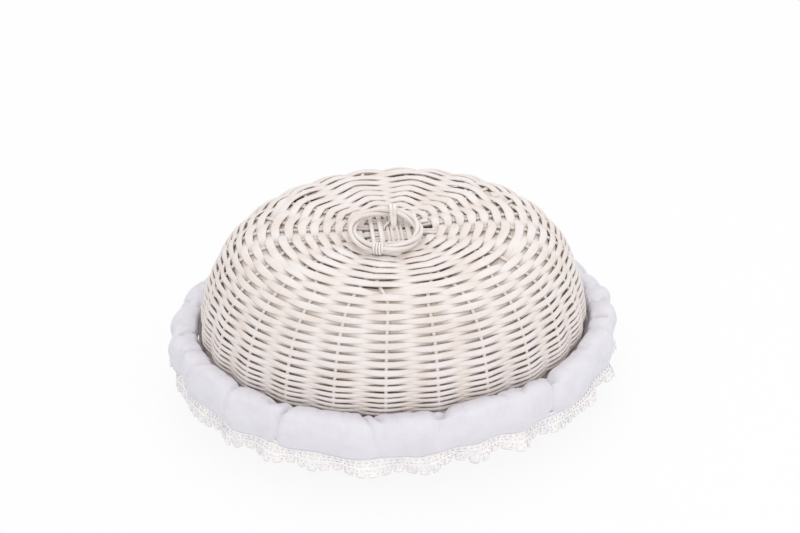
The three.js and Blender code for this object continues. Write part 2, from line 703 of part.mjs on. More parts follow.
// A band of cloth round the rim. Its profile is a list of stations: how far out from the rim and up, and how
// much of the folds' depth the cloth has there.
function clothBand(profile, thick, hemWave = () => 0) {
  const last = profile.length - 1;
  const rings = Array.from({ length: clothSteps }, (_, i) => {
    const turn = i / clothSteps;
    const line = profile.map(({ out, rise, folded }, j) =>
      new THREE.Vector2(out + folded * foldDepth * puff(turn), rise + (j === last ? hemWave(i) : 0)),
    );
    const skins = [0, thick].map((depth) =>
      line.map((p, j) => {
        const along = line[Math.min(j + 1, last)].clone().sub(line[Math.max(j - 1, 0)]).normalize();
        return besideRim(turn, p.x + along.y * depth, p.y - along.x * depth);
      }),
    );
    return [...skins[0], ...skins[1].reverse()];
  });
  return skin(rings, true);
}

// The frill's shown side, from the seam inside the basket over the rim to the hem
const seam = wallDirection
  .clone()
  .multiplyScalar(linerTop + seatGap - basket.end - hoopRadius)
  .addScaledVector(inFromWall, rimCloth);
const aroundRim = (angle) => ({ out: -rimCloth * Math.cos(angle), rise: rimCloth * Math.sin(angle) });
const frillProfile = [
  { out: seam.x, rise: seam.y, folded: 0 },
  { ...aroundRim(rimTurn * degree), folded: 0 },
  { ...aroundRim(2 * rimTurn * degree), folded: 0.1 },
  { out: frillReach * 0.62, rise: rimCloth * 0.72, folded: 0.5 },
  { out: frillReach - foldDepth, rise: -frillDrop * 0.2, folded: 1 },
  { out: frillReach - foldDepth - frillTuck, rise: rimCloth - frillDrop, folded: 1 },
];
const hem = frillProfile.at(-1);

// The lace is sewn to the back of the hem
const laceOut = hem.out - clothThick - 2 * seatGap;
const laceProfile = [
  { out: laceOut, rise: hem.rise + laceTuck, folded: 1 },
  { out: laceOut - laceLean, rise: hem.rise - laceDrop, folded: 1 },
];
const scallop = (i) => (i % 2 === 0 ? 0 : scallopDepth);

// The elastic runs inside the hem above the lace, against the bottoms of the folds
function elastic() {
  const out = laceOut - clothThick - seatGap;
  const rise = hem.rise + laceTuck + seatGap + elasticThick / 2;
  const steps = 1.5 * ribCount;
  const turns = Array.from({ length: steps }, (_, i) => i / steps);
  return strand(
    turns.map((turn) => besideRim(turn, out, rise)),
    turns.map(() => up),
    roundSection(elasticThick, 3),
    true,
  );
}

function buildLiner() {
  const group = new THREE.Group();
  group.add(
    part("liner_bowl", linerBowl(), cotton),
    part("liner_frill", clothBand(frillProfile, clothThick), cotton),
    part("liner_elastic", elastic(), cotton),
    part("lace_edging", clothBand(laceProfile, laceThick, scallop), crochet),
  );
  return group;
}

function buildBasket() {
  const group = new THREE.Group();
  group.add(...ribbing(basket, "basket"));
  group.add(...weave(basket, "base", "wall", basketRowGap));
  group.add(part("basket_rim", twistedHoop(basket, rimHoop.x, rimHoop.y), willow));
  const footRing = twistedHoop(basket, baseHalfWidth - hoopRadius, footHeight - hoopOffset - rodFlat);
  const underFloor = new THREE.BoxGeometry(2 * lidLength, 2 * lidLength, 2 * footHeight);
  underFloor.translate(0, 0, -footHeight);
  group.add(part("basket_foot", cut(footRing, underFloor), willow));
  return group;
}

function buildLid() {
  const group = new THREE.Group();
  group.add(...ribbing(lid, "lid"));
  group.add(...weave(lid, "crown", "side", lidRowGap));
  group.add(part("lid_border", twistedHoop(lid, lidHoopWidth, lidHoopHeight), willow));
  group.add(part("handle_loop", handleLoop(), cane));
  return group;
}

const assembly = new THREE.Group();
assembly.add(buildBasket(), buildLiner(), buildLid(), buildHandle());
export default assembly;
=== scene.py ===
"""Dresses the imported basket: finely woven willow shells, ring handle, gathered liner and lace.

Everything is in metres in the frame of the CAD model. A shell is drawn by its meridian, which gives a
height for each half width, and by the directions of its 24 ribs. All the rods, rows and cloths follow it.
"""

import math
import random

import bmesh
import bpy
import numpy as np
from bpy.props import FloatProperty, FloatVectorProperty, IntProperty, PointerProperty
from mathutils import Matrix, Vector


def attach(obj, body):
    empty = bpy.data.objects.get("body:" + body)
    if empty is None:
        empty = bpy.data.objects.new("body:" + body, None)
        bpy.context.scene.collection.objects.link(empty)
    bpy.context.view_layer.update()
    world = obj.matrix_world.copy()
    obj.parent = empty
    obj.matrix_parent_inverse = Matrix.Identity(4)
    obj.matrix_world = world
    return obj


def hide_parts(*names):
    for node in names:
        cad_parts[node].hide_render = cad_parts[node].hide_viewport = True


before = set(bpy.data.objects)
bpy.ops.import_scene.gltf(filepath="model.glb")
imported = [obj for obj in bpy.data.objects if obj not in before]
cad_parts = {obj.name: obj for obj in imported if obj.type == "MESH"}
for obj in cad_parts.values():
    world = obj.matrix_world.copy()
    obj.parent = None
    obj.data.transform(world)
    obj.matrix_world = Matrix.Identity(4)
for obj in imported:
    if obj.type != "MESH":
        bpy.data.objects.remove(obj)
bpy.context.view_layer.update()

bl_info = {
    "name": "Lidded wicker basket",
    "version": (1, 0, 0),
    "blender": (4, 5, 0),
    "location": "3D View > Sidebar > Basket",
    "description": "Weaves a lidded willow basket with a gathered cotton liner around its packed model",
    "category": "Add Mesh",
}

IMAGE_SIZE = (800, 533)
FOOT_PIXEL = (394, 313)  # where the image shows the middle of the lid's foot

# Sizes that the CAD model fixes
RIBS = 24
RIB_WIDTH = 0.003
RIB_THICKNESS = 0.0024
SEAT_GAP = 0.0003
LID_LENGTH = 0.340
LID_WIDTH = 0.261
LID_RISE = 0.094
CROWN_FLATNESS = 7.3
WALL_LEAN_IN = 1.3
LID_TUCK = 0.0005
RIM_HEIGHT = 0.060
LID_PLAY = 0.0075
WALL_LEAN = math.radians(62)
BASE_TURN = 0.020
BASE_HOLLOW = 0.0015
PAIR_PITCH = 0.00335
FAN_RADIUS = 0.021
FAN_ANGLES = [math.radians(a) for a in (14, 40, 76)]
SPOKE_ANGLES = [math.radians(a) for a in (8, 35, 72)]
OPEN_FROM = 0.46
OPEN_TO = 0.76
SINGLE_FROM = 0.66
OVAL_GROWTH = 1.4
INNERMOST_ROW = 0.0228
WEAVE_DEPTH = 0.007126
DRESSED_DEPTH = 0.0038  # from the lid's ribs out to the top of the finer weave made here
WALL_DEPTH = 0.003729
HOOP_ROD = 0.0036
HOOP_GAP = 0.0005
HOOP_LAY = 4.5
HANDLE_DIAMETER = 0.056
HANDLE_OVAL = 0.92
HANDLE_ROD = 0.0036
HANDLE_ROUNDS = 3
HANDLE_TWISTS = 5
HANDLE_BACK = 0.0115
HANDLE_SKEW = math.radians(-20)
HANDLE_HEIGHT = 0.169123
CLOTH_THICKNESS = 0.0012
FRILL_REACH = 0.017
FRILL_DROP = 0.028
FRILL_TUCK = 0.0025
FOLDS = 22
FOLD_DEPTH = 0.0046
LACE_DROP = 0.017
LACE_TUCK = 0.004
ELASTIC = 0.002

HOOP_OFFSET = (HOOP_ROD + HOOP_GAP) / 2
HOOP_RADIUS = HOOP_OFFSET + HOOP_ROD / 2
ROD_FLAT = HOOP_ROD / 2 * math.cos(math.pi / 4)
FOOT_SINK = 0.0005
FOOT_HEIGHT = 2 * (HOOP_OFFSET + ROD_FLAT) - FOOT_SINK
BASE_HEIGHT = FOOT_HEIGHT + 2 * SEAT_GAP + WALL_DEPTH
OVALNESS = (LID_LENGTH - LID_WIDTH) / 2
LID_HALF_WIDTH = LID_WIDTH / 2 - WALL_DEPTH
UP = Vector((0, 0, 1))
TAU = 2 * math.pi


def mix(a, b, t):
    return a + (b - a) * t


def smoothstep(t):
    t = min(1, max(0, t))
    return t * t * (3 - 2 * t)


def turned(x, y, angle):
    return x * math.cos(angle) - y * math.sin(angle), x * math.sin(angle) + y * math.cos(angle)


class Shell:
    """A woven shell: its meridian of (half width, height) points, and its ribs laid out along it."""

    def __init__(self, meridian, full_length_at, facing):
        self.meridian = meridian
        self.full_length_at = full_length_at
        self.facing = facing  # 1 if its outside faces up at the middle, -1 if down
        self.widest = max(w for w, _ in meridian)
        self.length = [0]
        for (w0, z0), (w1, z1) in zip(meridian, meridian[1:]):
            self.length.append(self.length[-1] + math.hypot(w1 - w0, z1 - z0))
        self.ribs = [[self.rib_frame(k, max(1, j)) for j in range(len(meridian))] for k in range(RIBS)]

    def half_length(self, w):
        return w + OVALNESS * min(1, w / self.full_length_at) ** OVAL_GROWTH

    def on_oval(self, w, angle, z):
        return Vector((self.half_length(w) * math.cos(angle), w * math.sin(angle), z))

    def outward_in_plan(self, w, angle):
        return Vector((w * math.cos(angle), self.half_length(w) * math.sin(angle), 0)).normalized()

    def pair_angle(self, pair, w):
        quarter, place = divmod(pair, RIBS // 8)
        open_at = OPEN_FROM * self.widest
        out = min(1, max(0, (w - FAN_RADIUS) / (open_at - FAN_RADIUS)))
        at = [mix(a, b, out) for a, b in zip(FAN_ANGLES, SPOKE_ANGLES)]
        if quarter % 2 == 0:
            return quarter * TAU / 4 + at[place]
        return (quarter + 1) * TAU / 4 - at[-1 - place]

    def rib_angle(self, k, w):
        even = (k + 0.5) * TAU / RIBS
        side = -1 if k % 2 == 0 else 1
        beside = side * math.asin(PAIR_PITCH / 2 / max(w, FAN_RADIUS))
        opened = smoothstep((w / self.widest - OPEN_FROM) / (OPEN_TO - OPEN_FROM))
        return mix(self.pair_angle(k // 2, w) + beside, even, opened)

    def rib_frame(self, k, j):
        def at(i):
            w, z = self.meridian[i]
            return self.on_oval(w, self.rib_angle(k, w), z)

        along = at(min(len(self.meridian) - 1, j + 1)) - at(max(1, j - 1))
        w = self.meridian[j][0]
        angle = self.rib_angle(k, w)
        sideways = Vector((-self.half_length(w) * math.sin(angle), w * math.cos(angle), 0))
        return at(j), along.cross(sideways).normalized() * self.facing

    def frame(self, s, k):
        """Place and outward direction at a distance s along rib k."""
        rib = self.ribs[k % RIBS]
        j = int(np.searchsorted(self.length, s)) - 1
        j = min(max(j, 1), len(self.length) - 2)
        t = (s - self.length[j]) / (self.length[j + 1] - self.length[j])
        return rib[j][0].lerp(rib[j + 1][0], t), rib[j][1].lerp(rib[j + 1][1], t).normalized()

    def frame_between(self, s, ribs):
        """The same between two ribs, where the wall is straight."""
        k = math.floor(ribs)
        (p0, o0), (p1, o1) = self.frame(s, k), self.frame(s, k + 1)
        return p0.lerp(p1, ribs - k), o0.lerp(o1, ribs - k).normalized()

    def reach(self, half_width):
        """Distance along the meridian at which it reaches a half width."""
        widths = [w for w, _ in self.meridian]
        j = next(i for i, w in enumerate(widths) if w >= half_width)
        t = (half_width - widths[j - 1]) / (widths[j] - widths[j - 1])
        return mix(self.length[j - 1], self.length[j], t)


# Basket: nearly flat base, a turn of even radius and a straight flaring wall
RIM_HALF_WIDTH = LID_WIDTH / 2 + LID_PLAY
WALL = Vector((math.cos(WALL_LEAN), math.sin(WALL_LEAN)))
IN_FROM_WALL = Vector((-WALL.y, WALL.x))
WALL_TOP = Vector((RIM_HALF_WIDTH, RIM_HEIGHT))
TURN_TOP = BASE_HEIGHT + BASE_TURN * (1 - math.cos(WALL_LEAN))
WALL_FOOT = WALL_TOP - WALL * ((RIM_HEIGHT - TURN_TOP) / math.sin(WALL_LEAN))
BASE_HALF_WIDTH = WALL_FOOT.x - BASE_TURN * math.sin(WALL_LEAN)
TURN_STEPS = 8
BASE_STEPS = 12
WALL_STEPS = 6


def basket_meridian():
    points = [(0, BASE_HEIGHT + BASE_HOLLOW)]
    for i in range(BASE_STEPS):
        t = i / BASE_STEPS
        points.append((mix(FAN_RADIUS, BASE_HALF_WIDTH, t), BASE_HEIGHT + BASE_HOLLOW * (1 - t)))
    for i in range(TURN_STEPS):
        a = i * WALL_LEAN / TURN_STEPS
        points.append(
            (BASE_HALF_WIDTH + BASE_TURN * math.sin(a), BASE_HEIGHT + BASE_TURN * (1 - math.cos(a)))
        )
    points += [tuple(WALL_FOOT.lerp(WALL_TOP, i / WALL_STEPS)) for i in range(WALL_STEPS + 1)]
    return points


basket = Shell(basket_meridian(), BASE_HALF_WIDTH, -1)
RIM_HOOP = WALL_TOP + WALL * (HOOP_RADIUS + SEAT_GAP)
LINER_DEPTH = max(WALL_DEPTH, HOOP_RADIUS) + SEAT_GAP
BASE_LINER_DEPTH = WEAVE_DEPTH + SEAT_GAP
RIM_CLOTH = (HOOP_RADIUS + SEAT_GAP) / math.cos(TAU / 16) + CLOTH_THICKNESS
LID_HOOP_WIDTH = LID_HALF_WIDTH - LID_TUCK
SEAT_FOOT = WALL_FOOT + IN_FROM_WALL * (LINER_DEPTH + CLOTH_THICKNESS + SEAT_GAP + HOOP_RADIUS)
LID_HOOP_HEIGHT = SEAT_FOOT.y + (LID_HOOP_WIDTH - SEAT_FOOT.x) * WALL.y / WALL.x
FRILL_TOP = RIM_HOOP.y + RIM_CLOTH
CROWN_STEPS = 12
SHOULDER_STEPS = 44
SHOULDER_FROM = 0.6
SHOULDER_OUT = 0.0012  # how much fuller the shoulder is than the superellipse
SHOULDER_UP = 0.0026
SHOULDER_PLACE = 2.5


def lid_meridian():
    """A superellipse from the crown to the top of the frill, and a short straight end to the border."""
    start = FAN_RADIUS / LID_HALF_WIDTH
    shares = [mix(start, SHOULDER_FROM, i / CROWN_STEPS) for i in range(CROWN_STEPS)]
    start = math.acos(SHOULDER_FROM ** (CROWN_FLATNESS / 2))
    for i in range(SHOULDER_STEPS + 1):
        shares.append(math.cos(start * (1 - i / SHOULDER_STEPS)) ** (2 / CROWN_FLATNESS))
    points = []
    for share in shares:
        height = max(0, 1 - share**CROWN_FLATNESS) ** (1 / WALL_LEAN_IN)
        full = math.sin(math.pi * share**SHOULDER_PLACE)
        w = LID_HALF_WIDTH * share + SHOULDER_OUT * full
        points.append((w, FRILL_TOP + (LID_RISE - DRESSED_DEPTH) * height + SHOULDER_UP * full))
    end_height = LID_HOOP_HEIGHT + HOOP_OFFSET + ROD_FLAT + SEAT_GAP
    return [(0, points[0][1])] + points + [(LID_HOOP_WIDTH, end_height)]


lid = Shell(lid_meridian(), LID_HALF_WIDTH, 1)
CROWN_HEIGHT = lid.meridian[0][1]


# Meshes

# What the material of each slot is called in the names of the pieces
MADE_OF = {"wicker": "willow", "cane": "cane", "cotton": "cotton", "elastic": "cord", "lace": "crochet"}
materials = {}  # by slot, once they are mixed


def grid_of(rows):
    """A bmesh grid with its vertices at the given rows of places, and a UV map from 0 to 1."""
    bm = bmesh.new()
    bm.loops.layers.uv.new("along")
    count, across = len(rows), len(rows[0])
    bmesh.ops.create_grid(bm, x_segments=across - 1, y_segments=count - 1, size=0.5, calc_uvs=True)
    for v, place in zip(bm.verts, np.asarray(rows).reshape(-1, 3)):
        v.co = place
    return bm


def scale_uv(bm, across, along):
    """Stretches the UV map across and along."""
    layer = bm.loops.layers.uv["along"]
    for face in bm.faces:
        for loop in face.loops:
            uv = loop[layer].uv
            loop[layer].uv = (uv.x * across, uv.y * along)


def oval_section(width, thickness, sides, squareness=0.8):
    """Corners of a flattened round section, closed: the last corner is the first again."""

    def bulged(half, share):
        return half * math.copysign(abs(share) ** squareness, share)

    angles = [TAU * (i + 0.5) / sides for i in range(sides + 1)]
    return [(bulged(width / 2, math.cos(a)), bulged(thickness / 2, math.sin(a))) for a in angles]


def unit(rows):
    return rows / np.linalg.norm(rows, axis=1)[:, None]


def strand(places, outwards, sections, painted_shades=0.0, closed=False):
    """A bent rod: a grid wrapped round a line of places, its section turned to the outward directions.

    The sections may be one for all places, and so may the shares of painted shade, which darken its colour
    as if shade fell on it deep in the weave."""
    p = np.array([tuple(v) for v in places])
    o = np.array([tuple(v) for v in outwards])
    if closed:
        line = np.roll(p, -1, axis=0) - np.roll(p, 1, axis=0)
    else:
        line = np.gradient(p, axis=0)
    across = unit(np.cross(o, line))
    out = unit(np.cross(line, across))
    section = np.array(sections)
    section = np.broadcast_to(section, (len(p), *section.shape[-2:]))
    rows = p[:, None] + across[:, None] * section[:, :, :1] + out[:, None] * section[:, :, 1:]
    painted_shades = np.broadcast_to(painted_shades, len(p))
    if closed:
        rows = np.concatenate([rows, rows[:1]])
        painted_shades = np.append(painted_shades, painted_shades[0])
    bm = grid_of(rows)
    # Each vertex keeps its share of painted shade, which the rod skin mixes towards the shaded colour
    layer = bm.verts.layers.float.new("painted_shade")
    for v, painted_shade in zip(bm.verts, np.repeat(painted_shades, rows.shape[1])):
        v[layer] = painted_shade
    length = float(np.linalg.norm(np.diff(rows.mean(axis=1), axis=0), axis=1).sum())
    scale_uv(bm, 1, length)
    merge(bm)
    close_holes(bm)
    return bm


def merge(bm):
    """Merges the vertices that share a place."""
    bmesh.ops.remove_doubles(bm, verts=bm.verts, dist=1e-7)


def close_holes(bm):
    """Fills every open rim, and turns the faces outwards."""
    rims = [e for e in bm.edges if e.is_boundary]
    if rims:
        bmesh.ops.holes_fill(bm, edges=rims, sides=0)
    bmesh.ops.recalc_face_normals(bm, faces=bm.faces)


def joined(parts):
    """Several bmeshes as one."""
    mesh = bpy.data.meshes.new("part")
    whole = bmesh.new()
    for bm in parts:
        bm.to_mesh(mesh)
        bm.free()
        whole.from_mesh(mesh)
    bpy.data.meshes.remove(mesh)
    return whole


def placed(name, data):
    """A new object in the scene."""
    obj = bpy.data.objects.new(name, data)
    bpy.context.scene.collection.objects.link(obj)
    return obj


def mesh_of(name, bm):
    mesh = bpy.data.meshes.new(name)
    bm.to_mesh(mesh)
    bm.free()
    return mesh


def piece(node, bm, body, slot):
    """The finished piece for a CAD node: smooth, in its slot's material and riding on its body."""
    name = f"{node}_{MADE_OF[slot]}"
    mesh = mesh_of(name, bm)
    mesh.shade_smooth()
    mesh.materials.append(materials[slot])
    obj = placed(name, mesh)
    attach(obj, body)
    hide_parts(node)
    return obj


def spline_stretch(a, b, c, d, steps):
    """Places from b on towards c, on a uniform Catmull-Rom spline."""
    square, cube = 2 * a - 5 * b + 4 * c - d, 3 * b - a - 3 * c + d
    shares = [j / steps for j in range(steps)]
    return [0.5 * (2 * b + (c - a) * t + square * t * t + cube * t**3) for t in shares]


def closed_spline(points, steps):
    """Places on a smooth closed line through the points."""
    n = len(points)
    places = []
    for i in range(n):
        places += spline_stretch(*(points[(i + k - 1) % n] for k in range(4)), steps)
    return places


def open_spline(points, steps):
    """Places on a smooth line through the points, from the first to the last."""
    ends = [2 * points[0] - points[1], *points, 2 * points[-1] - points[-2]]
    places = []
    for four in zip(ends, ends[1:], ends[2:], ends[3:]):
        places += spline_stretch(*four, steps)
    return [*places, points[-1]]


class Wobble:
    """Smooth seeded unevenness along a strand: one value for each rib that it passes."""

    def __init__(self, rng, count):
        self.values = [rng.uniform(-1, 1) for _ in range(count + 3)]

    def at(self, u):
        i = math.floor(u)
        return mix(self.values[i], self.values[i + 1], smoothstep(u - i))


# Materials


def new_tree(name):
    material = bpy.data.materials.new(name)
    material.use_nodes = True
    tree = material.node_tree
    return material, tree, tree.nodes["Principled BSDF"]


def feed(tree, value, socket):
    """Gives an input its value, or a link where the value is a socket."""
    if isinstance(value, bpy.types.NodeSocket):
        tree.links.new(value, socket)
    else:
        socket.default_value = value


def fill(tree, node, **values):
    """Gives a node its properties and inputs by their names."""
    for key, value in values.items():
        if hasattr(node, key):
            setattr(node, key, value)
        else:
            feed(tree, value, node.inputs[key.replace("_", " ")])
    return node


def add(tree, kind, **values):
    """A new node, filled."""
    return fill(tree, tree.nodes.new(kind), **values)


def mixed(tree, factor, a, b):
    """Colour a, or b where the factor is 1."""
    node = add(tree, "ShaderNodeMix", data_type="RGBA")
    for i, value in ((0, factor), (6, a), (7, b)):
        feed(tree, value, node.inputs[i])
    return node.outputs[2]


def either(tree, factor, a, b):
    """Shader a, or b where the factor is 1."""
    node = tree.nodes.new("ShaderNodeMixShader")
    for i, value in enumerate((factor, a, b)):
        feed(tree, value, node.inputs[i])
    return node.outputs[0]


def maths(tree, operation, a, b):
    node = add(tree, "ShaderNodeMath", operation=operation)
    feed(tree, a, node.inputs[0])
    feed(tree, b, node.inputs[1])
    return node.outputs[0]


def ranged(tree, value, low, high, to_low=0.0, to_high=1.0):
    """The value eased from one range to another."""
    node = add(tree, "ShaderNodeMapRange", interpolation_type="SMOOTHSTEP")
    for i, number in enumerate((value, low, high, to_low, to_high)):
        feed(tree, number, node.inputs[i])
    return node.outputs[0]


def noise(tree, place, scale, detail, roughness=0.5):
    return add(
        tree, "ShaderNodeTexNoise", Vector=place, Scale=scale, Detail=detail, Roughness=roughness
    ).outputs[0]


def new_group(name, inputs, outputs):
    """A shader node group with the named inputs and outputs, each of its kind."""
    group = bpy.data.node_groups.new(name, "ShaderNodeTree")
    for in_out, sockets in (("INPUT", inputs), ("OUTPUT", outputs)):
        for label, kind in sockets.items():
            group.interface.new_socket(label, in_out=in_out, socket_type="NodeSocket" + kind)
    return group, group.nodes.new("NodeGroupInput"), group.nodes.new("NodeGroupOutput")


def rod_skin_group():
    """Grain and patches of paint on a painted rod from its own UV map, and painted shade in the recesses
    of the weave from its share of painted shade.
    """
    group, given, put_out = new_group(
        "Rod skin",
        {"Pale": "Color", "Warm": "Color", "Shaded": "Color", "Grain scale": "Float"},
        {"Color": "Color", "Roughness": "Float", "Height": "Float"},
    )
    pale, warm, shaded, grain_scale = list(given.outputs)[:4]
    uv = add(group, "ShaderNodeUVMap", uv_map="along").outputs[0]
    place = add(group, "ShaderNodeTexCoord").outputs["Object"]
    stretched = add(group, "ShaderNodeMapping", Vector=uv, Scale=(7, 55, 1)).outputs[0]
    grain = noise(group, stretched, grain_scale, 4.0, 0.6)
    patches = noise(group, place, 42.0, 3.0, 0.55)
    lengths = add(group, "ShaderNodeMapping", Vector=uv, Scale=(0, 22, 1)).outputs[0]
    bands = noise(group, lengths, 1.0, 2.0)
    patched = mixed(group, ranged(group, patches, 0.38, 0.68), pale, warm)
    banded = mixed(group, ranged(group, bands, 0.45, 0.75, 0, 0.55), patched, warm)
    streaked = mixed(group, ranged(group, grain, 0.55, 0.8, 0, 0.6), banded, warm)
    # Painted shade: the shaded colour mixed in by each vertex's share, where the weave lies deep
    depth = add(group, "ShaderNodeAttribute", attribute_name="painted_shade").outputs["Fac"]
    colour = mixed(group, ranged(group, depth, 0.35, 1.05), streaked, shaded)
    roughness = ranged(group, grain, 0.3, 0.8, 0.42, 0.66)
    fill(group, put_out, Color=colour, Roughness=roughness, Height=grain)
    return group


def rod_material(name, group, pale, warm, shaded, grain_scale, coat):
    material, tree, shader = new_tree(name)
    skin = add(tree, "ShaderNodeGroup", node_tree=group, Grain_scale=grain_scale)
    fill(tree, skin, Pale=(*pale, 1), Warm=(*warm, 1), Shaded=(*shaded, 1))
    colour, roughness, height = skin.outputs
    bump = add(tree, "ShaderNodeBump", Strength=0.35, Distance=0.0003, Height=height)
    fill(tree, shader, Base_Color=colour, Roughness=roughness, Normal=bump.outputs[0])
    fill(tree, shader, Specular_IOR_Level=0.4, Coat_Weight=coat, Coat_Roughness=0.35)
    return material


def thread_group():
    """Height of a plain weave on a cloth's UV map, and soft uneven folds on its place."""
    group, given, put_out = new_group(
        "Woven threads", {"Threads": "Float", "Softness": "Float"}, {"Height": "Float", "Mottle": "Float"}
    )
    threads, softness = list(given.outputs)[:2]
    uv = add(group, "ShaderNodeUVMap", uv_map="along").outputs[0]
    place = add(group, "ShaderNodeTexCoord").outputs["Object"]
    waves = [add(group, "ShaderNodeTexWave", bands_direction=direction) for direction in "XY"]
    for wave in waves:
        fill(group, wave, Vector=uv, Scale=threads, Distortion=0.6)
    crossed = maths(group, "MULTIPLY", *(wave.outputs["Fac"] for wave in waves))
    rumple = noise(group, place, 75.0, 4.0, 0.55)
    height = maths(group, "ADD", crossed, maths(group, "MULTIPLY", rumple, softness))
    fill(group, put_out, Height=height, Mottle=rumple)
    return group


def cloth_material(name, group, light, shade, threads, softness, depth):
    material, tree, shader = new_tree(name)
    weave = add(tree, "ShaderNodeGroup", node_tree=group, Threads=threads, Softness=softness)
    height, mottle = weave.outputs
    bump = add(tree, "ShaderNodeBump", Strength=0.5, Distance=depth, Height=height)
    colour = mixed(tree, ranged(tree, mottle, 0.4, 0.75), (*light, 1), (*shade, 1))
    fill(tree, shader, Base_Color=colour, Roughness=0.9, Normal=bump.outputs[0])
    fill(tree, shader, Specular_IOR_Level=0.2, Sheen_Weight=0.15)
    return material


# Sizes and colours that a user may change


def length(name, description, default, low=0.0001, high=0.05):
    return FloatProperty(
        name=name, description=description, default=default, min=low, max=high, unit="LENGTH"
    )


def whole(name, description, default):
    return IntProperty(name=name, description=description, default=default, min=0)


def angle(name, description, degrees):
    return FloatProperty(
        name=name, description=description, default=math.radians(degrees), subtype="ANGLE"
    )


def colour(name, description, default):
    return FloatVectorProperty(
        name=name, description=description, default=default, min=0, max=1, size=3, subtype="COLOR"
    )


class WickerSizes(bpy.types.PropertyGroup):
    """Sizes of the willow work."""

    crown_row: length("Row at the crown", "Distance between rows of weave near the middle", 0.0040)
    shoulder_row: length("Row at the shoulder", "Distance between rows where the ribs part", 0.0043)
    side_row: length("Row at the side", "Distance between rows where the wall is steep", 0.00378)
    border_row: length("Row at the border", "Distance between rows beaten down at the border", 0.0021)
    basket_row: length("Row of the basket", "Distance between rows in the basket", 0.0056)
    weaver_width: length("Weaver width", "Width of the flattened weavers", 0.0062)
    weaver_thickness: length("Weaver thickness", "Thickness of the flattened weavers", 0.0020)
    unevenness: FloatProperty(
        name="Unevenness", description="How much hand work wanders", default=1.0, min=0, max=3
    )
    seed: whole("Seed", "Number that fixes the unevenness", 7)


class LinerSizes(bpy.types.PropertyGroup):
    """Sizes of the cotton liner and its lace."""

    pleat_depth: length("Pleat depth", "Depth of the folds between the puffs", 0.0085)
    pleat_count: whole("Pleats", "Number of deep folds round the rim", 34)
    crease_depth: length("Crease depth", "Depth of the small gathers", 0.0016)
    crease_count: whole("Creases", "Number of small gathers round the rim", 70)
    puff_height: length("Puff height", "How high the frill puffs up by the lid in front", 0.0085)
    lace_flare: length("Lace flare", "How far the lace stands out at its edge", 0.0036)
    scallop_width: length("Scallop width", "Width of one repeat of the lace", 0.0092)
    scallop_depth: length("Scallop depth", "Depth of the lace's scalloped edge", 0.0035)
    seed: whole("Seed", "Number that fixes the gathers", 11)


class Finishes(bpy.types.PropertyGroup):
    """Colours of the basket."""

    willow_pale: colour("Painted willow", "Whitewash on the rods", (0.83, 0.77, 0.74))
    willow_warm: colour("Worn willow", "Where the whitewash is thin", (0.79, 0.705, 0.65))
    # Painted shade: the colour that darkens the recesses of the weave, where shade falls
    willow_painted_shade: colour("Inner willow", "Paint in the recesses of the weave", (0.77, 0.685, 0.62))
    cane: colour("Cane", "Split cane of the ties", (0.87, 0.81, 0.76))
    cotton: colour("Cotton", "The liner", (0.80, 0.775, 0.815))
    cotton_shade: colour("Cotton shade", "Faint mottling of the liner", (0.76, 0.73, 0.775))
    lace: colour("Lace", "The crochet edging", (0.95, 0.91, 0.885))


class StageSizes(bpy.types.PropertyGroup):
    """Where the camera stands, and how bright the lamps are."""

    azimuth: angle("Azimuth", "Camera's turn round the basket", -6.8)
    elevation: angle("Elevation", "Camera's angle above the floor", 39.4)
    distance: length("Distance", "From the camera to the middle of the lid's foot", 1.394, 0.2, 10)
    lens: FloatProperty(name="Lens", description="Focal length in millimetres", default=72.0)
    lamp_power: FloatProperty(
        name="Lamp power", description="Watts that the lamps take their shares of", default=6.0, min=0
    )


class BASKET_OT_finishes(bpy.types.Operator):
    """Mix the paints and cloths of the basket."""

    bl_idname = "basket.finishes"
    bl_label = "Mix the finishes"

    def execute(self, context):
        c = context.scene.basket_finishes
        skin, threads = rod_skin_group(), thread_group()
        # The third colour of each rod finish is its painted shade for the recesses of the weave
        willow = (c.willow_pale, c.willow_warm, c.willow_painted_shade)
        cane = (c.cane, c.willow_pale, c.willow_warm)
        cotton = (c.cotton, c.cotton_shade)
        materials["wicker"] = rod_material("Whitewashed willow", skin, *willow, grain_scale=1.0, coat=0.08)
        materials["cane"] = rod_material("Split cane", skin, *cane, grain_scale=1.6, coat=0.15)
        for slot, name, colours, count, softness, depth in (
            ("cotton", "White cotton", cotton, 320.0, 1.6, 0.0004),
            ("elastic", "Covered elastic", cotton, 500.0, 0.2, 0.0003),
            ("lace", "Crochet lace", (c.lace, c.cotton), 260.0, 0.5, 0.0003),
        ):
            materials[slot] = cloth_material(name, threads, *colours, count, softness, depth)
        return {"FINISHED"}


# Willow work

ROD_SIDES = 10
LENGTHWISE = RIBS // 3  # rods along the basket, pushed through slits in the rods across it
CROSSWISE = RIBS // 6
LENGTHWISE_GAP = 0.0024 + 4 * SEAT_GAP
CROSSWISE_GAP = 0.001 + 2 * SEAT_GAP
LOOP_WIDTH = 0.0029
LOOP_THICKNESS = 0.001
CANE_EDGE = 0.7

# Shares of painted shade on the rods: how far the shaded willow colour is mixed in, as if they lay deep in
# the weave where shade falls
RIB_PAINTED_SHADE = 0.6
HOOP_PAINTED_SHADE = 0.3
RING_PAINTED_SHADE = 0.15


def group_half(count, gap):
    return gap / 2 + (count / 2 - 1) * PAIR_PITCH + RIB_WIDTH + SEAT_GAP


LENGTHWISE_HALF = group_half(LENGTHWISE, LENGTHWISE_GAP)
CROSSWISE_HALF = group_half(CROSSWISE, CROSSWISE_GAP)
LOOP_FOOT = CROSSWISE_HALF + LOOP_THICKNESS / 2
SPLIT_TAPER = 0.0015
SLIT_HEIGHT = RIB_THICKNESS + 2 * SEAT_GAP
SPLIT_THICKNESS = SLIT_HEIGHT + RIB_THICKNESS
FAN_STAGGER = 0.3

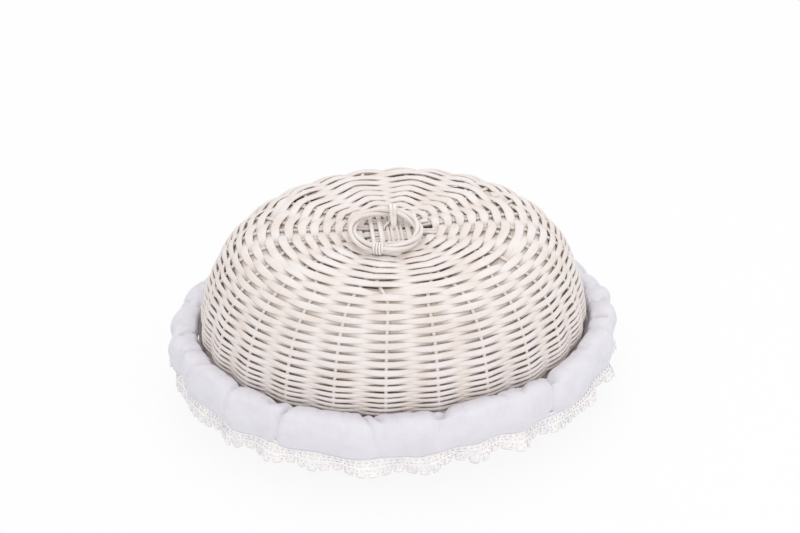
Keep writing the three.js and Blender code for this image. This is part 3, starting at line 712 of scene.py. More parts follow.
# Cane that ties the cross: fine rounds by its rods, and wide ones outside them
TIE_SIDES = 8
TIE_BEND = 0.001
FINE_ROUNDS = 2
FINE_STEP = 0.001
FINE_WIDTHS = (0.0012, 0.0012)  # of a round at x = 0 and at its ends along x
FINE_THICKNESS = 0.0009
WIDE_START = (0.0034, 0.0032)
WIDE_STEP = (0.0035, 0.0019)
WIDE_WIDTHS = (0.0018, 0.0036)
WIDE_THICKNESS = 0.0016

# Weavers: their width is a share of the distance between rows
WEAVER_STEPS = 6  # places from one rib to the next
FILL = 1.07
FILL_ON_RIB = 0.36  # added where it passes a rib
FILL_WIDE_ROW = 0.17  # added where the rows are wider than the next value
WIDE_ROW = 0.0038
WIDE_ROW_EASE = 0.0003
WEAVER_EDGE = 0.72  # squareness of its section
BOW = 1.12  # how far it bows out round a rib, where 1 would just touch
WANDER_UP = 0.00042  # hand work: how far it wanders in place, width, thickness and roll
WANDER_WIDTH = 0.05
WANDER_THICKNESS = 0.08
WANDER_ROLL = 0.16
WIDENING = 0.8  # power with which it widens where the oval spreads the rows
THICKEST = 0.8  # of its width
INNER_STOP = 0.6  # shares of the way to the next rib, where one pair ends and the next one starts
OUTER_START = 0.4
HOOP_FULLNESS = 1.08
HOOP_STEPS = 168
HOOP_GIRTHS = (0.92, 1.06)  # least and most of the girth, which changes between so many places
HOOP_PLACES = 24


def rod(shell, number):
    """One rod: in along a rib, straight through the cross and out along the rib opposite."""
    slit = number >= LENGTHWISE
    count, gap = (CROSSWISE, CROSSWISE_GAP) if slit else (LENGTHWISE, LENGTHWISE_GAP)
    from_middle = (number - LENGTHWISE if slit else number) - (count - 1) / 2
    place = from_middle * PAIR_PITCH
    place += math.copysign(gap / 2 + RIB_WIDTH / 2 - PAIR_PITCH / 2, from_middle)
    forward = Vector((0, 1, 0)) if slit else Vector((1, 0, 0))
    sideways = Vector((-1, 0, 0)) if slit else Vector((0, 1, 0))
    height = shell.meridian[0][1]
    outward = UP * shell.facing
    own, other = (CROSSWISE_HALF, LENGTHWISE_HALF) if slit else (LENGTHWISE_HALF, CROSSWISE_HALF)
    turn_at = other + (SPLIT_TAPER if slit else 0) + SEAT_GAP + FAN_STAGGER * (own - abs(place))
    near = math.floor(from_middle) + (RIBS // 4 if slit else 0)
    far = (RIBS if slit else RIBS // 2) - 1 - near

    def in_cross(along, thickness):
        centre = forward * along + sideways * place + UP * height
        return centre, outward, thickness

    def arm(k):
        return [(*f, RIB_THICKNESS) for f in shell.ribs[k % RIBS][1:]]

    def half(side):
        inner = [in_cross(side * turn_at, RIB_THICKNESS)]
        if slit:
            inner.append(in_cross(side * (other + SPLIT_TAPER), RIB_THICKNESS))
            inner.append(in_cross(side * other, SPLIT_THICKNESS))
        return inner

    stations = arm(far)[::-1] + half(-1) + half(1)[::-1] + arm(near)
    places, outwards, thicknesses = zip(*stations)
    sections = [oval_section(RIB_WIDTH, t, ROD_SIDES) for t in thicknesses]
    bm = strand(places, outwards, sections, RIB_PAINTED_SHADE)
    if slit:
        cut_slit(bm, -place, other, height)
    return bm


def cut_slit(bm, x, half_length, height):
    """Cuts the slit that the lengthwise rods pass through, and closes the faces that it leaves."""
    top, low = height + SLIT_HEIGHT / 2, height - SLIT_HEIGHT / 2
    for point, normal in (
        ((x, 0, top), (0, 0, 1)),
        ((x, 0, low), (0, 0, 1)),
        ((x, half_length, height), (0, 1, 0)),
        ((x, -half_length, height), (0, 1, 0)),
    ):
        inside = []
        for face in bm.faces:
            away = [abs(v.co.y) for v in face.verts]
            if max(away) < half_length + SPLIT_TAPER or min(away) < half_length:
                inside.append(face)
        around = {e for f in inside for e in f.edges} | {v for f in inside for v in f.verts}
        bmesh.ops.bisect_plane(bm, geom=[*inside, *around], dist=1e-6, plane_co=point, plane_no=normal)
    gone = [
        f
        for f in bm.faces
        if low < f.calc_center_median().z < top and abs(f.calc_center_median().y) < half_length
    ]
    bmesh.ops.delete(bm, geom=gone, context="FACES")
    close_holes(bm)


def cross_tie(shell, turn, over_first):
    """One round of the weave that holds the cross: over one arm and under the next."""
    if turn < FINE_ROUNDS:
        x_out = y_out = (turn + 0.5) * FINE_STEP + (turn + 3) * SEAT_GAP
        widths, thickness = FINE_WIDTHS, FINE_THICKNESS
    else:
        x_out, y_out = (a + (turn - FINE_ROUNDS) * b for a, b in zip(WIDE_START, WIDE_STEP))
        widths, thickness = WIDE_WIDTHS, WIDE_THICKNESS
    lift = RIB_THICKNESS / 2 + SEAT_GAP + thickness / 2
    x, y = LOOP_FOOT + LOOP_THICKNESS / 2 + x_out, LENGTHWISE_HALF + SPLIT_TAPER + y_out
    height = shell.meridian[0][1]
    high = lift if over_first else -lift

    def corner(i, j):
        return [
            Vector((i * x, j * LENGTHWISE_HALF, height + high)),
            Vector((i * (x + TIE_BEND), j * (y + TIE_BEND / 2), height)),
            Vector((i * (CROSSWISE_HALF + TIE_BEND), j * y, height - high)),
        ]

    stations = corner(1, 1) + corner(-1, 1)[::-1] + corner(-1, -1) + corner(1, -1)[::-1]
    places = closed_spline(stations, 6)
    sections = [
        oval_section(mix(*widths, min(1, abs(p.x / x)) ** 4), thickness, TIE_SIDES) for p in places
    ]
    return strand(places, [UP] * len(places), sections, closed=True)


def row_places(start, end, pitches):
    """Distances along the meridian at which the rows cross the ribs, one for each crossing."""
    crossings = [start]
    while crossings[-1] < end:
        t = (crossings[-1] - start) / (end - start)
        pitch = np.interp(t, *zip(*pitches))
        crossings.append(crossings[-1] + 2 * float(pitch) / RIBS)
    return crossings


def weaver(shell, crossings, first, last, ahead, pairs, sizes, seed):
    """One weaver of a chased pair, from one crossing to another.

    It climbs two rows in each round. Its partner is half a round ahead and passes the other sides."""
    rng = random.Random(seed)
    count = math.ceil(last - first) + 2
    rise, width, thick, roll = (Wobble(rng, count) for _ in range(4))
    uneven = sizes.unevenness

    def side(i):
        crossed = i // 2 if pairs else i
        return 1 if crossed % 2 == (1 if ahead else 0) else -1

    places, outwards, sections, painted_shades = [], [], [], []
    for n in range(round((last - first) * WEAVER_STEPS) + 1):
        u = first + n / WEAVER_STEPS
        i = min(math.floor(u), math.ceil(last) - 1)
        t = u - i
        at = i + (RIBS // 2 if ahead else 0)
        s0, s1 = crossings[at], crossings[at + 1]
        pitch = (s1 - s0) * RIBS / 2
        s = mix(s0, s1, t) + rise.at(u - first) * WANDER_UP * uneven
        place, outward = shell.frame_between(s, i + t)
        swing = mix(side(i), side(i + 1), (1 - math.cos(math.pi * t)) / 2)
        tread = (shell.frame_between(s + pitch, i + t)[0] - place).length / pitch
        cover = FILL + FILL_WIDE_ROW * smoothstep((pitch - WIDE_ROW) / WIDE_ROW_EASE)
        cover += FILL_ON_RIB * abs(swing)
        w_now = min(sizes.weaver_width, cover * pitch) * tread**WIDENING
        w_now *= 1 + WANDER_WIDTH * uneven * width.at(u - first)
        t_now = min(sizes.weaver_thickness, THICKEST * w_now)
        t_now *= 1 + WANDER_THICKNESS * uneven * thick.at(u - first)
        amplitude = (RIB_THICKNESS / 2 + t_now / 2) * BOW
        places.append(place + outward * swing * amplitude)
        outwards.append(outward)
        turn = WANDER_ROLL * uneven * roll.at(u - first)
        sections.append([turned(*c, turn) for c in oval_section(w_now, t_now, ROD_SIDES, WEAVER_EDGE)])
        # Painted shade: the weaver takes the shaded colour fully where it passes inside a rib and none
        # where it passes outside
        painted_shades.append(0.5 - 0.5 * swing)
    smoothed = list(places)
    for _ in range(2):
        smoothed[1:-1] = [
            (a + 2 * b + c) / 4 for a, b, c in zip(smoothed, smoothed[1:], smoothed[2:])
        ]
    return strand(smoothed, outwards, sections, painted_shades)


def weave(shell, inner, outer, body, pitches, sizes):
    """Both chased pairs of a shell: one round the paired ribs, one round the single ribs."""
    start = shell.reach(INNERMOST_ROW)
    end = shell.length[-1] - sizes.weaver_width / 2
    crossings = row_places(start, end, pitches)
    join = next(i for i, s in enumerate(crossings) if s > shell.reach(shell.widest * SINGLE_FROM))
    half = RIBS // 2
    last = len(crossings) - 1
    runs = [
        (f"{inner}_weaver_1", 0, join + INNER_STOP, False, True),
        (f"{inner}_weaver_2", 0, join - half + INNER_STOP, True, True),
        (f"{outer}_weaver_1", join + OUTER_START, last, False, False),
        (f"{outer}_weaver_2", join - half + OUTER_START, last - half, True, False),
    ]
    for n, (node, first, stop, ahead, pairs) in enumerate(runs):
        bm = weaver(shell, crossings, first, stop, ahead, pairs, sizes, sizes.seed + 10 * n)
        piece(node, bm, body, "wicker")


def hoop(shell, w, z, seed, flat_at=None):
    """A border of two twisted rods: one rod that goes round twice and closes on itself."""
    rng = random.Random(seed)
    sway = [rng.uniform(*HOOP_GIRTHS) for _ in range(HOOP_PLACES)]
    each = 2 * HOOP_STEPS // HOOP_PLACES
    places, outwards, sections = [], [], []
    for i in range(2 * HOOP_STEPS):
        turn = i / HOOP_STEPS * RIBS
        k = math.floor(turn)
        lay = i / HOOP_STEPS * TAU * HOOP_LAY
        corner = [shell.on_oval(w, shell.rib_angle((k + n) % RIBS, w), z) for n in (0, 1)]
        place = corner[0].lerp(corner[1], turn - k)
        outward = shell.outward_in_plan(w, (turn + 0.5) * TAU / RIBS)
        place += outward * HOOP_OFFSET * math.cos(lay) + UP * HOOP_OFFSET * math.sin(lay)
        places.append(place)
        outwards.append(outward)
        j, t = divmod(i, each)
        girth = HOOP_ROD * HOOP_FULLNESS * mix(sway[j], sway[(j + 1) % HOOP_PLACES], t / each)
        sections.append(oval_section(girth, girth, ROD_SIDES, squareness=1))
    for _ in range(2):
        n = len(places)
        places = [(places[i - 1] + 2 * places[i] + places[(i + 1) % n]) / 4 for i in range(n)]
    bm = strand(places, outwards, sections, HOOP_PAINTED_SHADE, closed=True)
    if flat_at is not None:
        bmesh.ops.bisect_plane(
            bm,
            geom=[*bm.verts, *bm.edges, *bm.faces],
            plane_co=(0, 0, flat_at),
            plane_no=(0, 0, -1),
            clear_outer=True,
        )
        close_holes(bm)
    return bm


class BASKET_OT_ribs(bpy.types.Operator):
    """Lay the twelve rods of each shell and tie their cross with cane."""

    bl_idname = "basket.ribs"
    bl_label = "Lay the rods"

    def execute(self, context):
        for shell, name in ((basket, "basket"), (lid, "lid")):
            for i in range(RIBS // 2):
                piece(f"{name}_rod_{i + 1:02d}", rod(shell, i), name, "wicker")
            for turn in (0, 1):
                rounds = [cross_tie(shell, turn + 2 * n, turn == 0) for n in range(3)]
                piece(f"{name}_cross_tie_{turn + 1}", joined(rounds), name, "cane")
        return {"FINISHED"}


class BASKET_OT_weave(bpy.types.Operator):
    """Chase the weavers round the ribs of both shells."""

    bl_idname = "basket.weave"
    bl_label = "Weave the shells"

    def execute(self, context):
        sizes = context.scene.basket_wicker
        # Shares of the way from the innermost row to the border, and the distance between rows there
        lid_rows = [
            (0.24, sizes.crown_row),
            (0.33, sizes.shoulder_row),
            (0.5, sizes.side_row),
            (0.78, sizes.side_row),
            (0.9, mix(sizes.side_row, sizes.border_row, 0.8)),
            (1, sizes.border_row),
        ]
        weave(lid, "crown", "side", "lid", lid_rows, sizes)
        basket_rows = [(0, sizes.basket_row), (1, sizes.basket_row)]
        weave(basket, "base", "wall", "basket", basket_rows, sizes)
        return {"FINISHED"}


class BASKET_OT_hoops(bpy.types.Operator):
    """Finish both shells with twisted borders, and the basket with its foot."""

    bl_idname = "basket.hoops"
    bl_label = "Twist the borders"

    def execute(self, context):
        piece("basket_rim", hoop(basket, RIM_HOOP.x, RIM_HOOP.y, seed=1), "basket", "wicker")
        foot_z = FOOT_HEIGHT - HOOP_OFFSET - ROD_FLAT
        foot = hoop(basket, BASE_HALF_WIDTH - HOOP_RADIUS, foot_z, seed=2, flat_at=0)
        piece("basket_foot", foot, "basket", "wicker")
        piece("lid_border", hoop(lid, LID_HOOP_WIDTH, LID_HOOP_HEIGHT, seed=3), "lid", "wicker")
        return {"FINISHED"}


# Handle

BUNDLE_REACH = (HANDLE_ROD + HOOP_GAP) / math.sqrt(3)
BUNDLE_RADIUS = BUNDLE_REACH + HANDLE_ROD / 2
BINDING_WIDTH = 0.0018
BINDING_THICKNESS = 0.0009
BINDING_PITCH = 0.0021
RING_FULLNESS = 1.02
RING_UNEVENNESS = 0.04
RING_WANDER = 0.0004
RING_STEPS = 90
RING_SIDES = 12
RING_SWAYS = 27  # stretches in which it strays one way or the other
LOOP_PLACE = 0.00155  # of each of its turns, from the middle of the basket


def on_ring(point):
    """From the ring's own frame, which starts from its bundle's middle at the loop, to the basket's."""
    x, y, z = point
    x, y = turned(x, y, HANDLE_SKEW)
    return Vector((x, y + HANDLE_BACK, z + HANDLE_HEIGHT))


class BASKET_OT_handle(bpy.types.Operator):
    """Wind the ring, bind it at the front and tie it to the crown."""

    bl_idname = "basket.handle"
    bl_label = "Make the ring handle"

    def execute(self, context):
        piece("handle_ring", self.ring(), "handle", "wicker")
        piece("handle_binding", self.binding(), "handle", "cane")
        piece("handle_loop", self.loop(), "lid", "cane")
        return {"FINISHED"}

    def ring(self):
        sway = Wobble(random.Random(5), RING_SWAYS - 2)
        places, outwards, sections = [], [], []
        total = HANDLE_ROUNDS * RING_STEPS
        for i in range(total):
            angle = i * TAU / RING_STEPS
            lay = i * TAU * HANDLE_TWISTS / total
            loose = sway.at(i / total * RING_SWAYS) * math.sin(math.pi * i / total)
            outward = Vector((math.sin(angle), math.cos(angle), 0))
            radius = HANDLE_DIAMETER / 2 + BUNDLE_REACH * math.cos(lay) + RING_WANDER * loose
            centre = outward * radius + Vector((0, -HANDLE_DIAMETER / 2, BUNDLE_REACH * math.sin(lay)))
            centre.y *= HANDLE_OVAL
            places.append(on_ring(centre))
            outwards.append(on_ring(outward) - on_ring((0, 0, 0)))
            girth = HANDLE_ROD * (RING_FULLNESS + RING_UNEVENNESS * loose)
            sections.append(oval_section(girth, girth, RING_SIDES, squareness=1))
        return strand(places, outwards, sections, RING_PAINTED_SHADE, closed=True)

    def binding(self):
        turns, steps = 4, 20
        radius = BUNDLE_RADIUS + SEAT_GAP + BINDING_THICKNESS / 2
        places, outwards = [], []
        for i in range(turns * steps + 1):
            turn = i / steps
            swing = math.pi + (turn - turns / 2) * BINDING_PITCH / (HANDLE_DIAMETER / 2)
            radial = Vector((math.sin(swing), math.cos(swing), 0))
            outward = radial * math.cos(turn * TAU) + UP * math.sin(turn * TAU)
            centre = radial * HANDLE_DIAMETER / 2 + Vector((0, -HANDLE_DIAMETER / 2, 0))
            centre.y *= HANDLE_OVAL
            places.append(on_ring(centre + outward * radius))
            outwards.append(on_ring(outward) - on_ring((0, 0, 0)))
        section = oval_section(BINDING_WIDTH, BINDING_THICKNESS, ROD_SIDES, CANE_EDGE)
        return strand(places, outwards, section)

    def loop(self):
        """Two turns of flat cane over the ring. One comes up beside the slit rods as the thin leg."""
        over = SPLIT_THICKNESS / 2 + LOOP_THICKNESS
        under = SPLIT_THICKNESS / 2 + SEAT_GAP + LOOP_THICKNESS / 2
        ring = BUNDLE_RADIUS + SEAT_GAP + LOOP_THICKNESS
        back, top, crown = HANDLE_BACK, HANDLE_HEIGHT, CROWN_HEIGHT
        slack = 0.003
        thin_leg = [
            ((-0.0006, 0, crown - under), (0.5, 0, -1)),
            ((-LOOP_FOOT + 0.001, 0, crown - under), (-0.5, 0, -1)),
            ((-LOOP_FOOT, 0, crown), (-1, 0, 0)),
            ((-LOOP_FOOT, 0, crown + over), (-1, 0.3, 0.4)),
            ((-LOOP_FOOT * 0.55, back - ring * 1.25, top - ring * 0.95), (-0.5, 0, 1)),
            ((-0.001, back + ring * 0.3, top - ring - SEAT_GAP), (0, 0.3, -1)),
        ]
        strands = []
        section = oval_section(LOOP_WIDTH, LOOP_THICKNESS, ROD_SIDES, CANE_EDGE)
        for x, tail in ((-LOOP_PLACE, thin_leg), (LOOP_PLACE, [])):
            over_ring = [
                ((x, back + ring + SEAT_GAP, top + ring * 0.2), (0, 1, 0)),
                ((x, back + ring * 0.4, top + ring + slack * 0.55), (0, 0.4, 1)),
                ((x, back - ring * 0.6, top + ring + slack * 0.5), (0, -0.4, 1)),
                ((x * 0.9, back * 0.45, crown + over + (top - crown) * 0.62), (0, -0.8, 0.8)),
                ((x * 0.6, 0.0012, crown + over), (0, -1, 0.2)),
                ((x * 0.25, 0, crown - under), (0, -1, 0)),
            ]
            start = [] if tail else [((x, back + ring * 0.2, top - ring - SEAT_GAP), (0, 0.3, -1))]
            stations = tail + start + over_ring
            places = open_spline([Vector(p) for p, _ in stations], 10)
            outwards = open_spline([Vector(o) for _, o in stations], 10)
            strands.append(strand(places, outwards, section))
        return joined(strands)


# Cloth


def beside_rim(turn, out, rise):
    """A place beside the rim: out from the middle of the rim border and up from it."""
    ribs = turn * RIBS
    k = math.floor(ribs)
    corners = [
        basket.on_oval(RIM_HOOP.x, (k + n + 0.5) * TAU / RIBS, RIM_HOOP.y + rise) for n in (0, 1)
    ]
    straight = corners[0].lerp(corners[1], ribs - k)
    rounded = basket.on_oval(RIM_HOOP.x, (ribs + 0.5) * TAU / RIBS, RIM_HOOP.y + rise)
    outward = basket.outward_in_plan(RIM_HOOP.x, (turn + 0.5 / RIBS) * TAU)
    return straight.lerp(rounded, 0.5) + outward * out


def puff(turn):
    """How far the cloth stands out at a turn round the rim, from 0 in a fold to 1 on a puff."""
    angle = turn * TAU
    uneven = 1.1 * math.sin(4 * angle) + 0.8 * math.cos(6 * angle)
    wave = 0.5 + 0.5 * math.cos(FOLDS * angle + uneven)
    return wave * (0.75 + 0.25 * math.cos(10 * angle))


LINER_TOP = basket.length[-1] - HOOP_RADIUS
SEAM = WALL * (LINER_TOP + SEAT_GAP - basket.length[-1] - HOOP_RADIUS) + IN_FROM_WALL * RIM_CLOTH
HEM_OUT = FRILL_REACH - FOLD_DEPTH - FRILL_TUCK
HEM_RISE = RIM_CLOTH - FRILL_DROP
LACE_OUT = HEM_OUT - CLOTH_THICKNESS - 2 * SEAT_GAP
LINING_STEPS = (8 * RIBS, 30)
LINING_LAP = 0.0006  # of the lining past the frill's seam
RIPPLE = 0.00016
LINING_CLOTH = CLOTH_THICKNESS * 0.8
THIN_CLOTH = 0.0007
RIM_CLEARANCE = HOOP_RADIUS + 0.0020
RIM_GIRTH = 1.0  # in metres, rounded
FRILL_STEPS = (900, 5)  # round the rim, and between two stations
GATHER_LIMIT = 0.6  # depth of a fold, as a share of its distance from the rim's middle
PLEAT_WIDTH = 0.0030
CREASE_WIDTH = 0.0017
BACK_REACH = 0.62  # of the frill, as shares of the CAD model's
FRONT_REACH = 1.12
HIGH_PUFF = 0.785  # turn at which the frill puffs up highest
HIGH_PUFF_WIDTH = 0.04
HIGH_PUFF_LIFT = 0.006

# Stations of the frill from seam to hem: out, up, and its shares of puffs, creases and swelling
FRILL_PROFILE = [
    (SEAM.x, SEAM.y, 0.0, 0.2, 0.0),
    (-0.0081, 0.0006, 0.0, 0.3, 0.35),
    (-0.0068, 0.0036, 0.0, 0.7, 0.8),
    (-0.0025, 0.0056, 0.0, 1.0, 0.9),
    (0.0040, 0.0062, 0.15, 1.0, 1.0),
    (0.0095, 0.0042, 0.5, 0.9, 0.9),
    (FRILL_REACH - FOLD_DEPTH, -FRILL_DROP * 0.12, 1.0, 0.6, 0.35),
    (FRILL_REACH - FOLD_DEPTH - FRILL_TUCK * 0.3, -FRILL_DROP * 0.45, 1.0, 0.4, 0.0),
    (HEM_OUT, HEM_RISE, 1.0, 0.6, 0.0),
]


def swell(turn, rise):
    """The frill's reach at a turn, as a share, its puffing up by the lid, and the lift of its hem."""
    front = 0.5 - beside_rim(turn, 0, 0).y / (2 * RIM_HOOP.x)  # from 0 at the back to 1 in front
    reach = mix(BACK_REACH, FRONT_REACH, smoothstep((front - 0.2) / 0.28))
    reach -= 0.1 * smoothstep((front - 0.6) / 0.3)
    puffed = math.exp(-((((turn - HIGH_PUFF + 0.5) % 1 - 0.5) / HIGH_PUFF_WIDTH) ** 2))
    return reach, rise * (smoothstep((front - 0.35) / 0.4) + 0.5 * puffed), HIGH_PUFF_LIFT * puffed


def gathers(count, depth, width, seed, turns, along):
    """Depth of uneven creases running out from the seam, at each turn and share of the way to the hem."""
    rng = random.Random(seed)
    turns, along = np.array(turns)[:, None], np.array(along)[None]
    total = np.zeros((turns.size, along.size))
    for i in range(count):
        at = (i + rng.uniform(-0.42, 0.42)) / count
        slant, reach = rng.uniform(-0.022, 0.022), rng.uniform(0.4, 1.5)
        deep, wide = depth * rng.uniform(0.3, 1.0), width * rng.uniform(0.6, 1.5)
        away = np.abs((turns - at - slant * along + 0.5) % 1 - 0.5) * RIM_GIRTH
        fade = np.clip((reach - along) / 0.3, 0, 1)
        total += deep * np.exp(-np.sqrt(away**2 + 1e-7) / wide) * fade * fade * (3 - 2 * fade)
    return total


def frill_rows(sizes):
    """The frill's places from seam to hem, at each turn round the rim."""
    around, along = FRILL_STEPS
    line = open_spline([Vector(station[:3]) for station in FRILL_PROFILE], along)
    shares = open_spline([Vector((c, s, 0)) for *_, c, s in FRILL_PROFILE], along)
    turns = [i / around for i in range(around + 1)]
    way = [j / (len(line) - 1) for j in range(len(line))]
    depths = gathers(sizes.pleat_count, sizes.pleat_depth, PLEAT_WIDTH, sizes.seed, turns, way)
    depths += gathers(
        sizes.crease_count, sizes.crease_depth, CREASE_WIDTH, sizes.seed + 1, turns, way
    )
    rows = []
    for i, turn in enumerate(turns):
        reach, rise, lift = swell(turn, sizes.puff_height)
        out = puff(turn)
        places = [
            Vector((p.x * (reach if p.x > 0 else 1) + FOLD_DEPTH * p.z * out, p.y + rise * s.y))
            for p, s in zip(line, shares)
        ]
        row = []
        for j, (place, share) in enumerate(zip(places, shares)):
            ahead = places[min(j + 1, len(places) - 1)] - places[max(j - 1, 0)]
            outward = Vector((-ahead.y, ahead.x)).normalized()
            depth = min(float(depths[i % around, j]) * share.x, GATHER_LIMIT * place.length)
            place = place - outward * depth
            place.y += lift * smoothstep(way[j] * 2 - 1)
            if place.length < RIM_CLEARANCE:
                place *= RIM_CLEARANCE / place.length
            row.append(tuple(beside_rim(turn, place.x, place.y)))
        rows.append(row)
    return rows


def uneven_waves(rng, count, fewest, least):
    """Waves round the rim: how many each has, where it starts and how deep it is."""
    return [(rng.randrange(fewest, 40), rng.uniform(0, TAU), rng.uniform(least, 1)) for _ in range(count)]


def at_turn(waves, turn, shift=0):
    return sum(depth * math.cos(n * turn * TAU + start + shift) for n, start, depth in waves)


def thicken(obj, thickness, offset, levels=1):
    solid = obj.modifiers.new("Thickness", "SOLIDIFY")
    solid.thickness = thickness
    solid.offset = offset
    if levels:
        smooth = obj.modifiers.new("Smooth", "SUBSURF")
        smooth.levels = smooth.render_levels = levels


class BASKET_OT_lining(bpy.types.Operator):
    """Line the basket with cotton."""

    bl_idname = "basket.lining"
    bl_label = "Line the basket"

    def execute(self, context):
        around, along = LINING_STEPS
        start = basket.reach(FAN_RADIUS)
        stations = [mix(start, LINER_TOP + LINING_LAP, j / along) for j in range(along + 1)]
        thin, thick = LINER_DEPTH + CLOTH_THICKNESS / 2, BASE_LINER_DEPTH + CLOTH_THICKNESS / 2
        edge = basket.reach(BASE_HALF_WIDTH)
        waves = uneven_waves(random.Random(3), 7, 5, 0.2)
        rows = []
        for i in range(around + 1):
            turn = i / around
            row = [(0, 0, basket.meridian[0][1] + thick)]
            for j, s in enumerate(stations):
                place, outward = basket.frame_between(s, turn * RIBS)
                t = j / along
                lift = RIPPLE * at_turn(waves, turn, 2 * t) * math.sin(math.pi * t)
                depth = mix(thick, thin, smoothstep((s - edge / 2) / (edge / 2)))
                row.append(tuple(place - outward * (depth + lift)))
            rows.append(row)
        bm = grid_of(rows)
        scale_uv(bm, across=0.25, along=1.0)
        merge(bm)
        obj = piece("liner_bowl", bm, "basket", "cotton")
        thicken(obj, LINING_CLOTH, 0)
        return {"FINISHED"}


class BASKET_OT_frill(bpy.types.Operator):
    """Gather the frill over the rim, with the elastic in its hem."""

    bl_idname = "basket.frill"
    bl_label = "Gather the frill"

    def execute(self, context):
        sizes = context.scene.basket_liner
        bm = grid_of(frill_rows(sizes))
        scale_uv(bm, across=0.06, along=1.5)
        merge(bm)
        bmesh.ops.recalc_face_normals(bm, faces=bm.faces)
        frill = piece("liner_frill", bm, "basket", "cotton")
        thicken(frill, THIN_CLOTH, -1, 0)
        back = LACE_OUT - CLOTH_THICKNESS - SEAT_GAP - HEM_OUT
        rise = HEM_RISE + LACE_TUCK + SEAT_GAP + ELASTIC / 2
        steps = 240
        places = []
        for i in range(steps):
            reach, _, lift = swell(i / steps, 0)
            places.append(beside_rim(i / steps, HEM_OUT * reach + back, rise + lift))
        section = oval_section(ELASTIC, ELASTIC, ROD_SIDES, squareness=1)
        cord = strand(places, [UP] * steps, section, closed=True)
        elastic = piece("liner_elastic", cord, "basket", "elastic")
        return {"FINISHED"}


GIRTH_STEPS = 720
LACE_WAVES = 0.0020

# One repeat of the lace, from its sewn edge down to the scallops. A dot is a hole.
LACE_PATTERN = (
    "########",
    "########",
    "#.##.##.",
    "########",
    "########",
    "##..##..",
    "########",
    "#.#..#.#",
    "########",
    "########",
    "#.##.##.",
    "########",
    "#.####.#",
    "########",
    ".######.",
)


class BASKET_OT_lace(bpy.types.Operator):
    """Crochet the lace edging behind the hem."""

    bl_idname = "basket.lace"
    bl_label = "Crochet the lace"

    def execute(self, context):
        sizes = context.scene.basket_liner
        line = [beside_rim(i / GIRTH_STEPS, LACE_OUT, 0) for i in range(GIRTH_STEPS + 1)]
        girth = sum((b - a).length for a, b in zip(line, line[1:]))
        repeats = round(girth / sizes.scallop_width)
        columns = len(LACE_PATTERN[0])
        around = repeats * columns
        height = LACE_TUCK + LACE_DROP
        down = len(LACE_PATTERN)
        rng = random.Random(sizes.seed)
        waves = uneven_waves(rng, 6, 9, 0.3)
        droop = [rng.uniform(0.3, 1.5) for _ in range(repeats)]
        rows = []
        for i in range(around + 1):
            turn = i % around / around
            in_repeat = i % columns / columns
            fan = math.sin(math.pi * in_repeat) ** 0.6
            scallop = sizes.scallop_depth * droop[i // columns % repeats]
            flare = at_turn(waves, turn)
            reach, _, lift = swell(turn, 0)
            hem = HEM_OUT * reach + LACE_OUT - HEM_OUT + FOLD_DEPTH * puff(turn)
            row = []
            for j in range(down + 1):
                t = j / down
                rise = HEM_RISE + lift + LACE_TUCK - t * height
                rise += (1 - fan) * scallop * smoothstep((t - 0.5) / 0.5)
                below = smoothstep((t - 0.2) / 0.8)
                out = hem + (sizes.lace_flare + LACE_WAVES * flare) * below
                spread = (in_repeat - 0.5) * (1 - fan) * 0.15 * smoothstep((t - 0.7) / 0.3)
                row.append(tuple(beside_rim(turn - spread / repeats, out, rise)))
            rows.append(row)
        bm = grid_of(rows)
        scale_uv(bm, height, girth)
        holes = [
            face
            for n, face in enumerate(bm.faces)
            if LACE_PATTERN[n % down][n // down % columns] == "."
        ]
        bmesh.ops.delete(bm, geom=holes, context="FACES")
        merge(bm)
        obj = piece("lace_edging", bm, "basket", "lace")
        thicken(obj, THIN_CLOTH, 0, 0)
        # The strip is a tenth longer than the girth that it hangs on, and 0.85 of it is cloth
        return {"FINISHED"}


# Stage

WHITE = (1, 1, 1, 1)
FLOOR_HALF = 4
FLOOR_COLOUR = (0.85, 0.85, 0.86, 1)
FLOOR_WHITENESS = 0.9  # share of plain white in what the camera sees of the floor
STUDIO_COLOUR = (0.97, 0.98, 1.0, 1)
STUDIO_LIGHT = 0.88
LAMP_AIM = Vector((0, 0, 0.1))

# Name, place, size and share of the lamp power
LAMPS = [
    ("Key", (-0.6, -1.1, 1.3), 0.9, 0.52),
    ("Fill", (1.1, -0.7, 0.9), 1.1, 0.34),
    ("Front", (0.1, -1.7, 0.5), 0.9, 0.36),
    ("Top", (0.1, 0.6, 1.5), 0.9, 0.7),
]


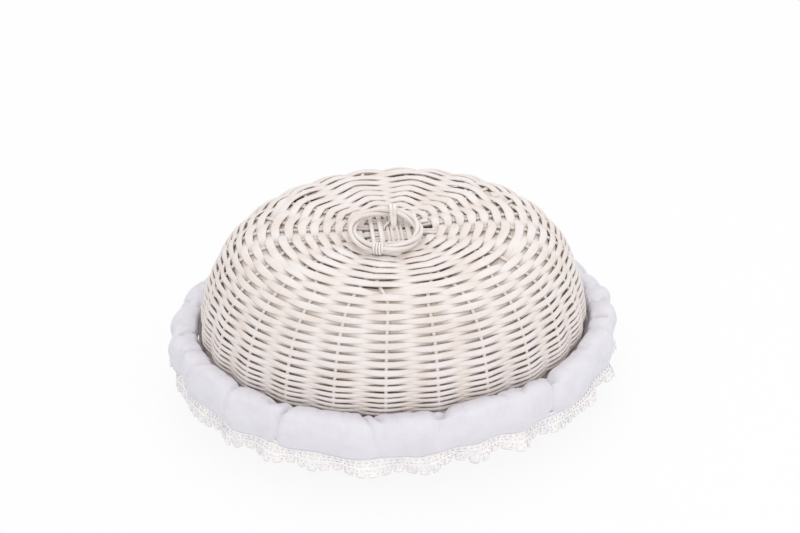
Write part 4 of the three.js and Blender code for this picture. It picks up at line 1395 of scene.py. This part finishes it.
class BASKET_OT_stage(bpy.types.Operator):
    """Set the white floor, the lamps and the camera."""

    bl_idname = "basket.stage"
    bl_label = "Set the stage"

    def execute(self, context):
        self.floor()
        self.world(context.scene)
        self.lamps(context.scene.basket_stage)
        self.camera(context.scene, context.scene.basket_stage)
        return {"FINISHED"}

    def floor(self):
        bm = bmesh.new()
        bmesh.ops.create_grid(bm, x_segments=2, y_segments=2, size=FLOOR_HALF)
        mesh = mesh_of("floor", bm)
        floor = placed("floor", mesh)
        material, tree, shader = new_tree("White floor")
        fill(tree, shader, Base_Color=FLOOR_COLOUR, Roughness=0.9)
        white = add(tree, "ShaderNodeEmission", Color=WHITE, Strength=1.0)
        rays = tree.nodes.new("ShaderNodeLightPath").outputs
        seen = maths(tree, "MAXIMUM", rays["Is Camera Ray"], rays["Is Glossy Ray"])
        share = maths(tree, "MULTIPLY", seen, FLOOR_WHITENESS)
        shown = either(tree, share, shader.outputs[0], white.outputs[0])
        fill(tree, tree.nodes["Material Output"], Surface=shown)
        mesh.materials.append(material)

    def world(self, scene):
        world = bpy.data.worlds.new("Studio")
        world.use_nodes = True
        tree = world.node_tree
        lit = fill(tree, tree.nodes["Background"], Color=STUDIO_COLOUR, Strength=STUDIO_LIGHT)
        white = add(tree, "ShaderNodeBackground", Color=WHITE, Strength=1.0)
        seen = tree.nodes.new("ShaderNodeLightPath").outputs["Is Camera Ray"]
        shown = either(tree, seen, lit.outputs[0], white.outputs[0])
        fill(tree, tree.nodes["World Output"], Surface=shown)
        scene.world = world

    def lamps(self, sizes):
        for name, place, size, share in LAMPS:
            data = bpy.data.lights.new(name, "AREA")
            data.energy = sizes.lamp_power * share
            data.size = size
            lamp = placed(name, data)
            lamp.location = place
            aim = LAMP_AIM - Vector(place)
            lamp.rotation_euler = aim.to_track_quat("-Z", "Y").to_euler()

    def camera(self, scene, sizes):
        data = bpy.data.cameras.new("Camera")
        data.lens = sizes.lens
        data.sensor_width = 36
        data.clip_end = 20
        camera = placed("Camera", data)
        a, e = sizes.azimuth, sizes.elevation
        back = Vector((math.sin(a) * math.cos(e), -math.cos(a) * math.cos(e), math.sin(e)))
        camera.location = Vector((0, 0, FRILL_TOP)) + back * sizes.distance
        camera.rotation_euler = (-back).to_track_quat("-Z", "Y").to_euler()
        data.shift_x = (IMAGE_SIZE[0] / 2 - FOOT_PIXEL[0]) / IMAGE_SIZE[0]
        data.shift_y = (FOOT_PIXEL[1] - IMAGE_SIZE[1] / 2) / IMAGE_SIZE[0]
        scene.camera = camera
        scene.view_settings.view_transform = "Standard"


STEPS = [
    BASKET_OT_stage,
    BASKET_OT_finishes,
    BASKET_OT_ribs,
    BASKET_OT_weave,
    BASKET_OT_hoops,
    BASKET_OT_handle,
    BASKET_OT_lining,
    BASKET_OT_frill,
    BASKET_OT_lace,
]

GROUPS = {
    "basket_wicker": WickerSizes,
    "basket_liner": LinerSizes,
    "basket_finishes": Finishes,
    "basket_stage": StageSizes,
}


class BASKET_PT_panel(bpy.types.Panel):
    """Sizes, colours and steps of the basket."""

    bl_label = "Wicker basket"
    bl_idname = "BASKET_PT_panel"
    bl_space_type = "VIEW_3D"
    bl_region_type = "UI"
    bl_category = "Basket"

    def draw(self, context):
        for group in GROUPS:
            box = self.layout.box()
            settings = getattr(context.scene, group)
            for key in settings.__annotations__:
                box.prop(settings, key)
        for step in STEPS:
            self.layout.operator(step.bl_idname)


def register():
    for cls in (*GROUPS.values(), *STEPS, BASKET_PT_panel):
        bpy.utils.register_class(cls)
    for name, cls in GROUPS.items():
        setattr(bpy.types.Scene, name, PointerProperty(type=cls))


def unregister():
    for name in GROUPS:
        delattr(bpy.types.Scene, name)
    for cls in (BASKET_PT_panel, *reversed(STEPS), *GROUPS.values()):
        bpy.utils.unregister_class(cls)


def main():
    register()
    for step in STEPS:
        group, name = step.bl_idname.split(".")
        getattr(getattr(bpy.ops, group), name)()


if __name__ == "__main__":
    main()
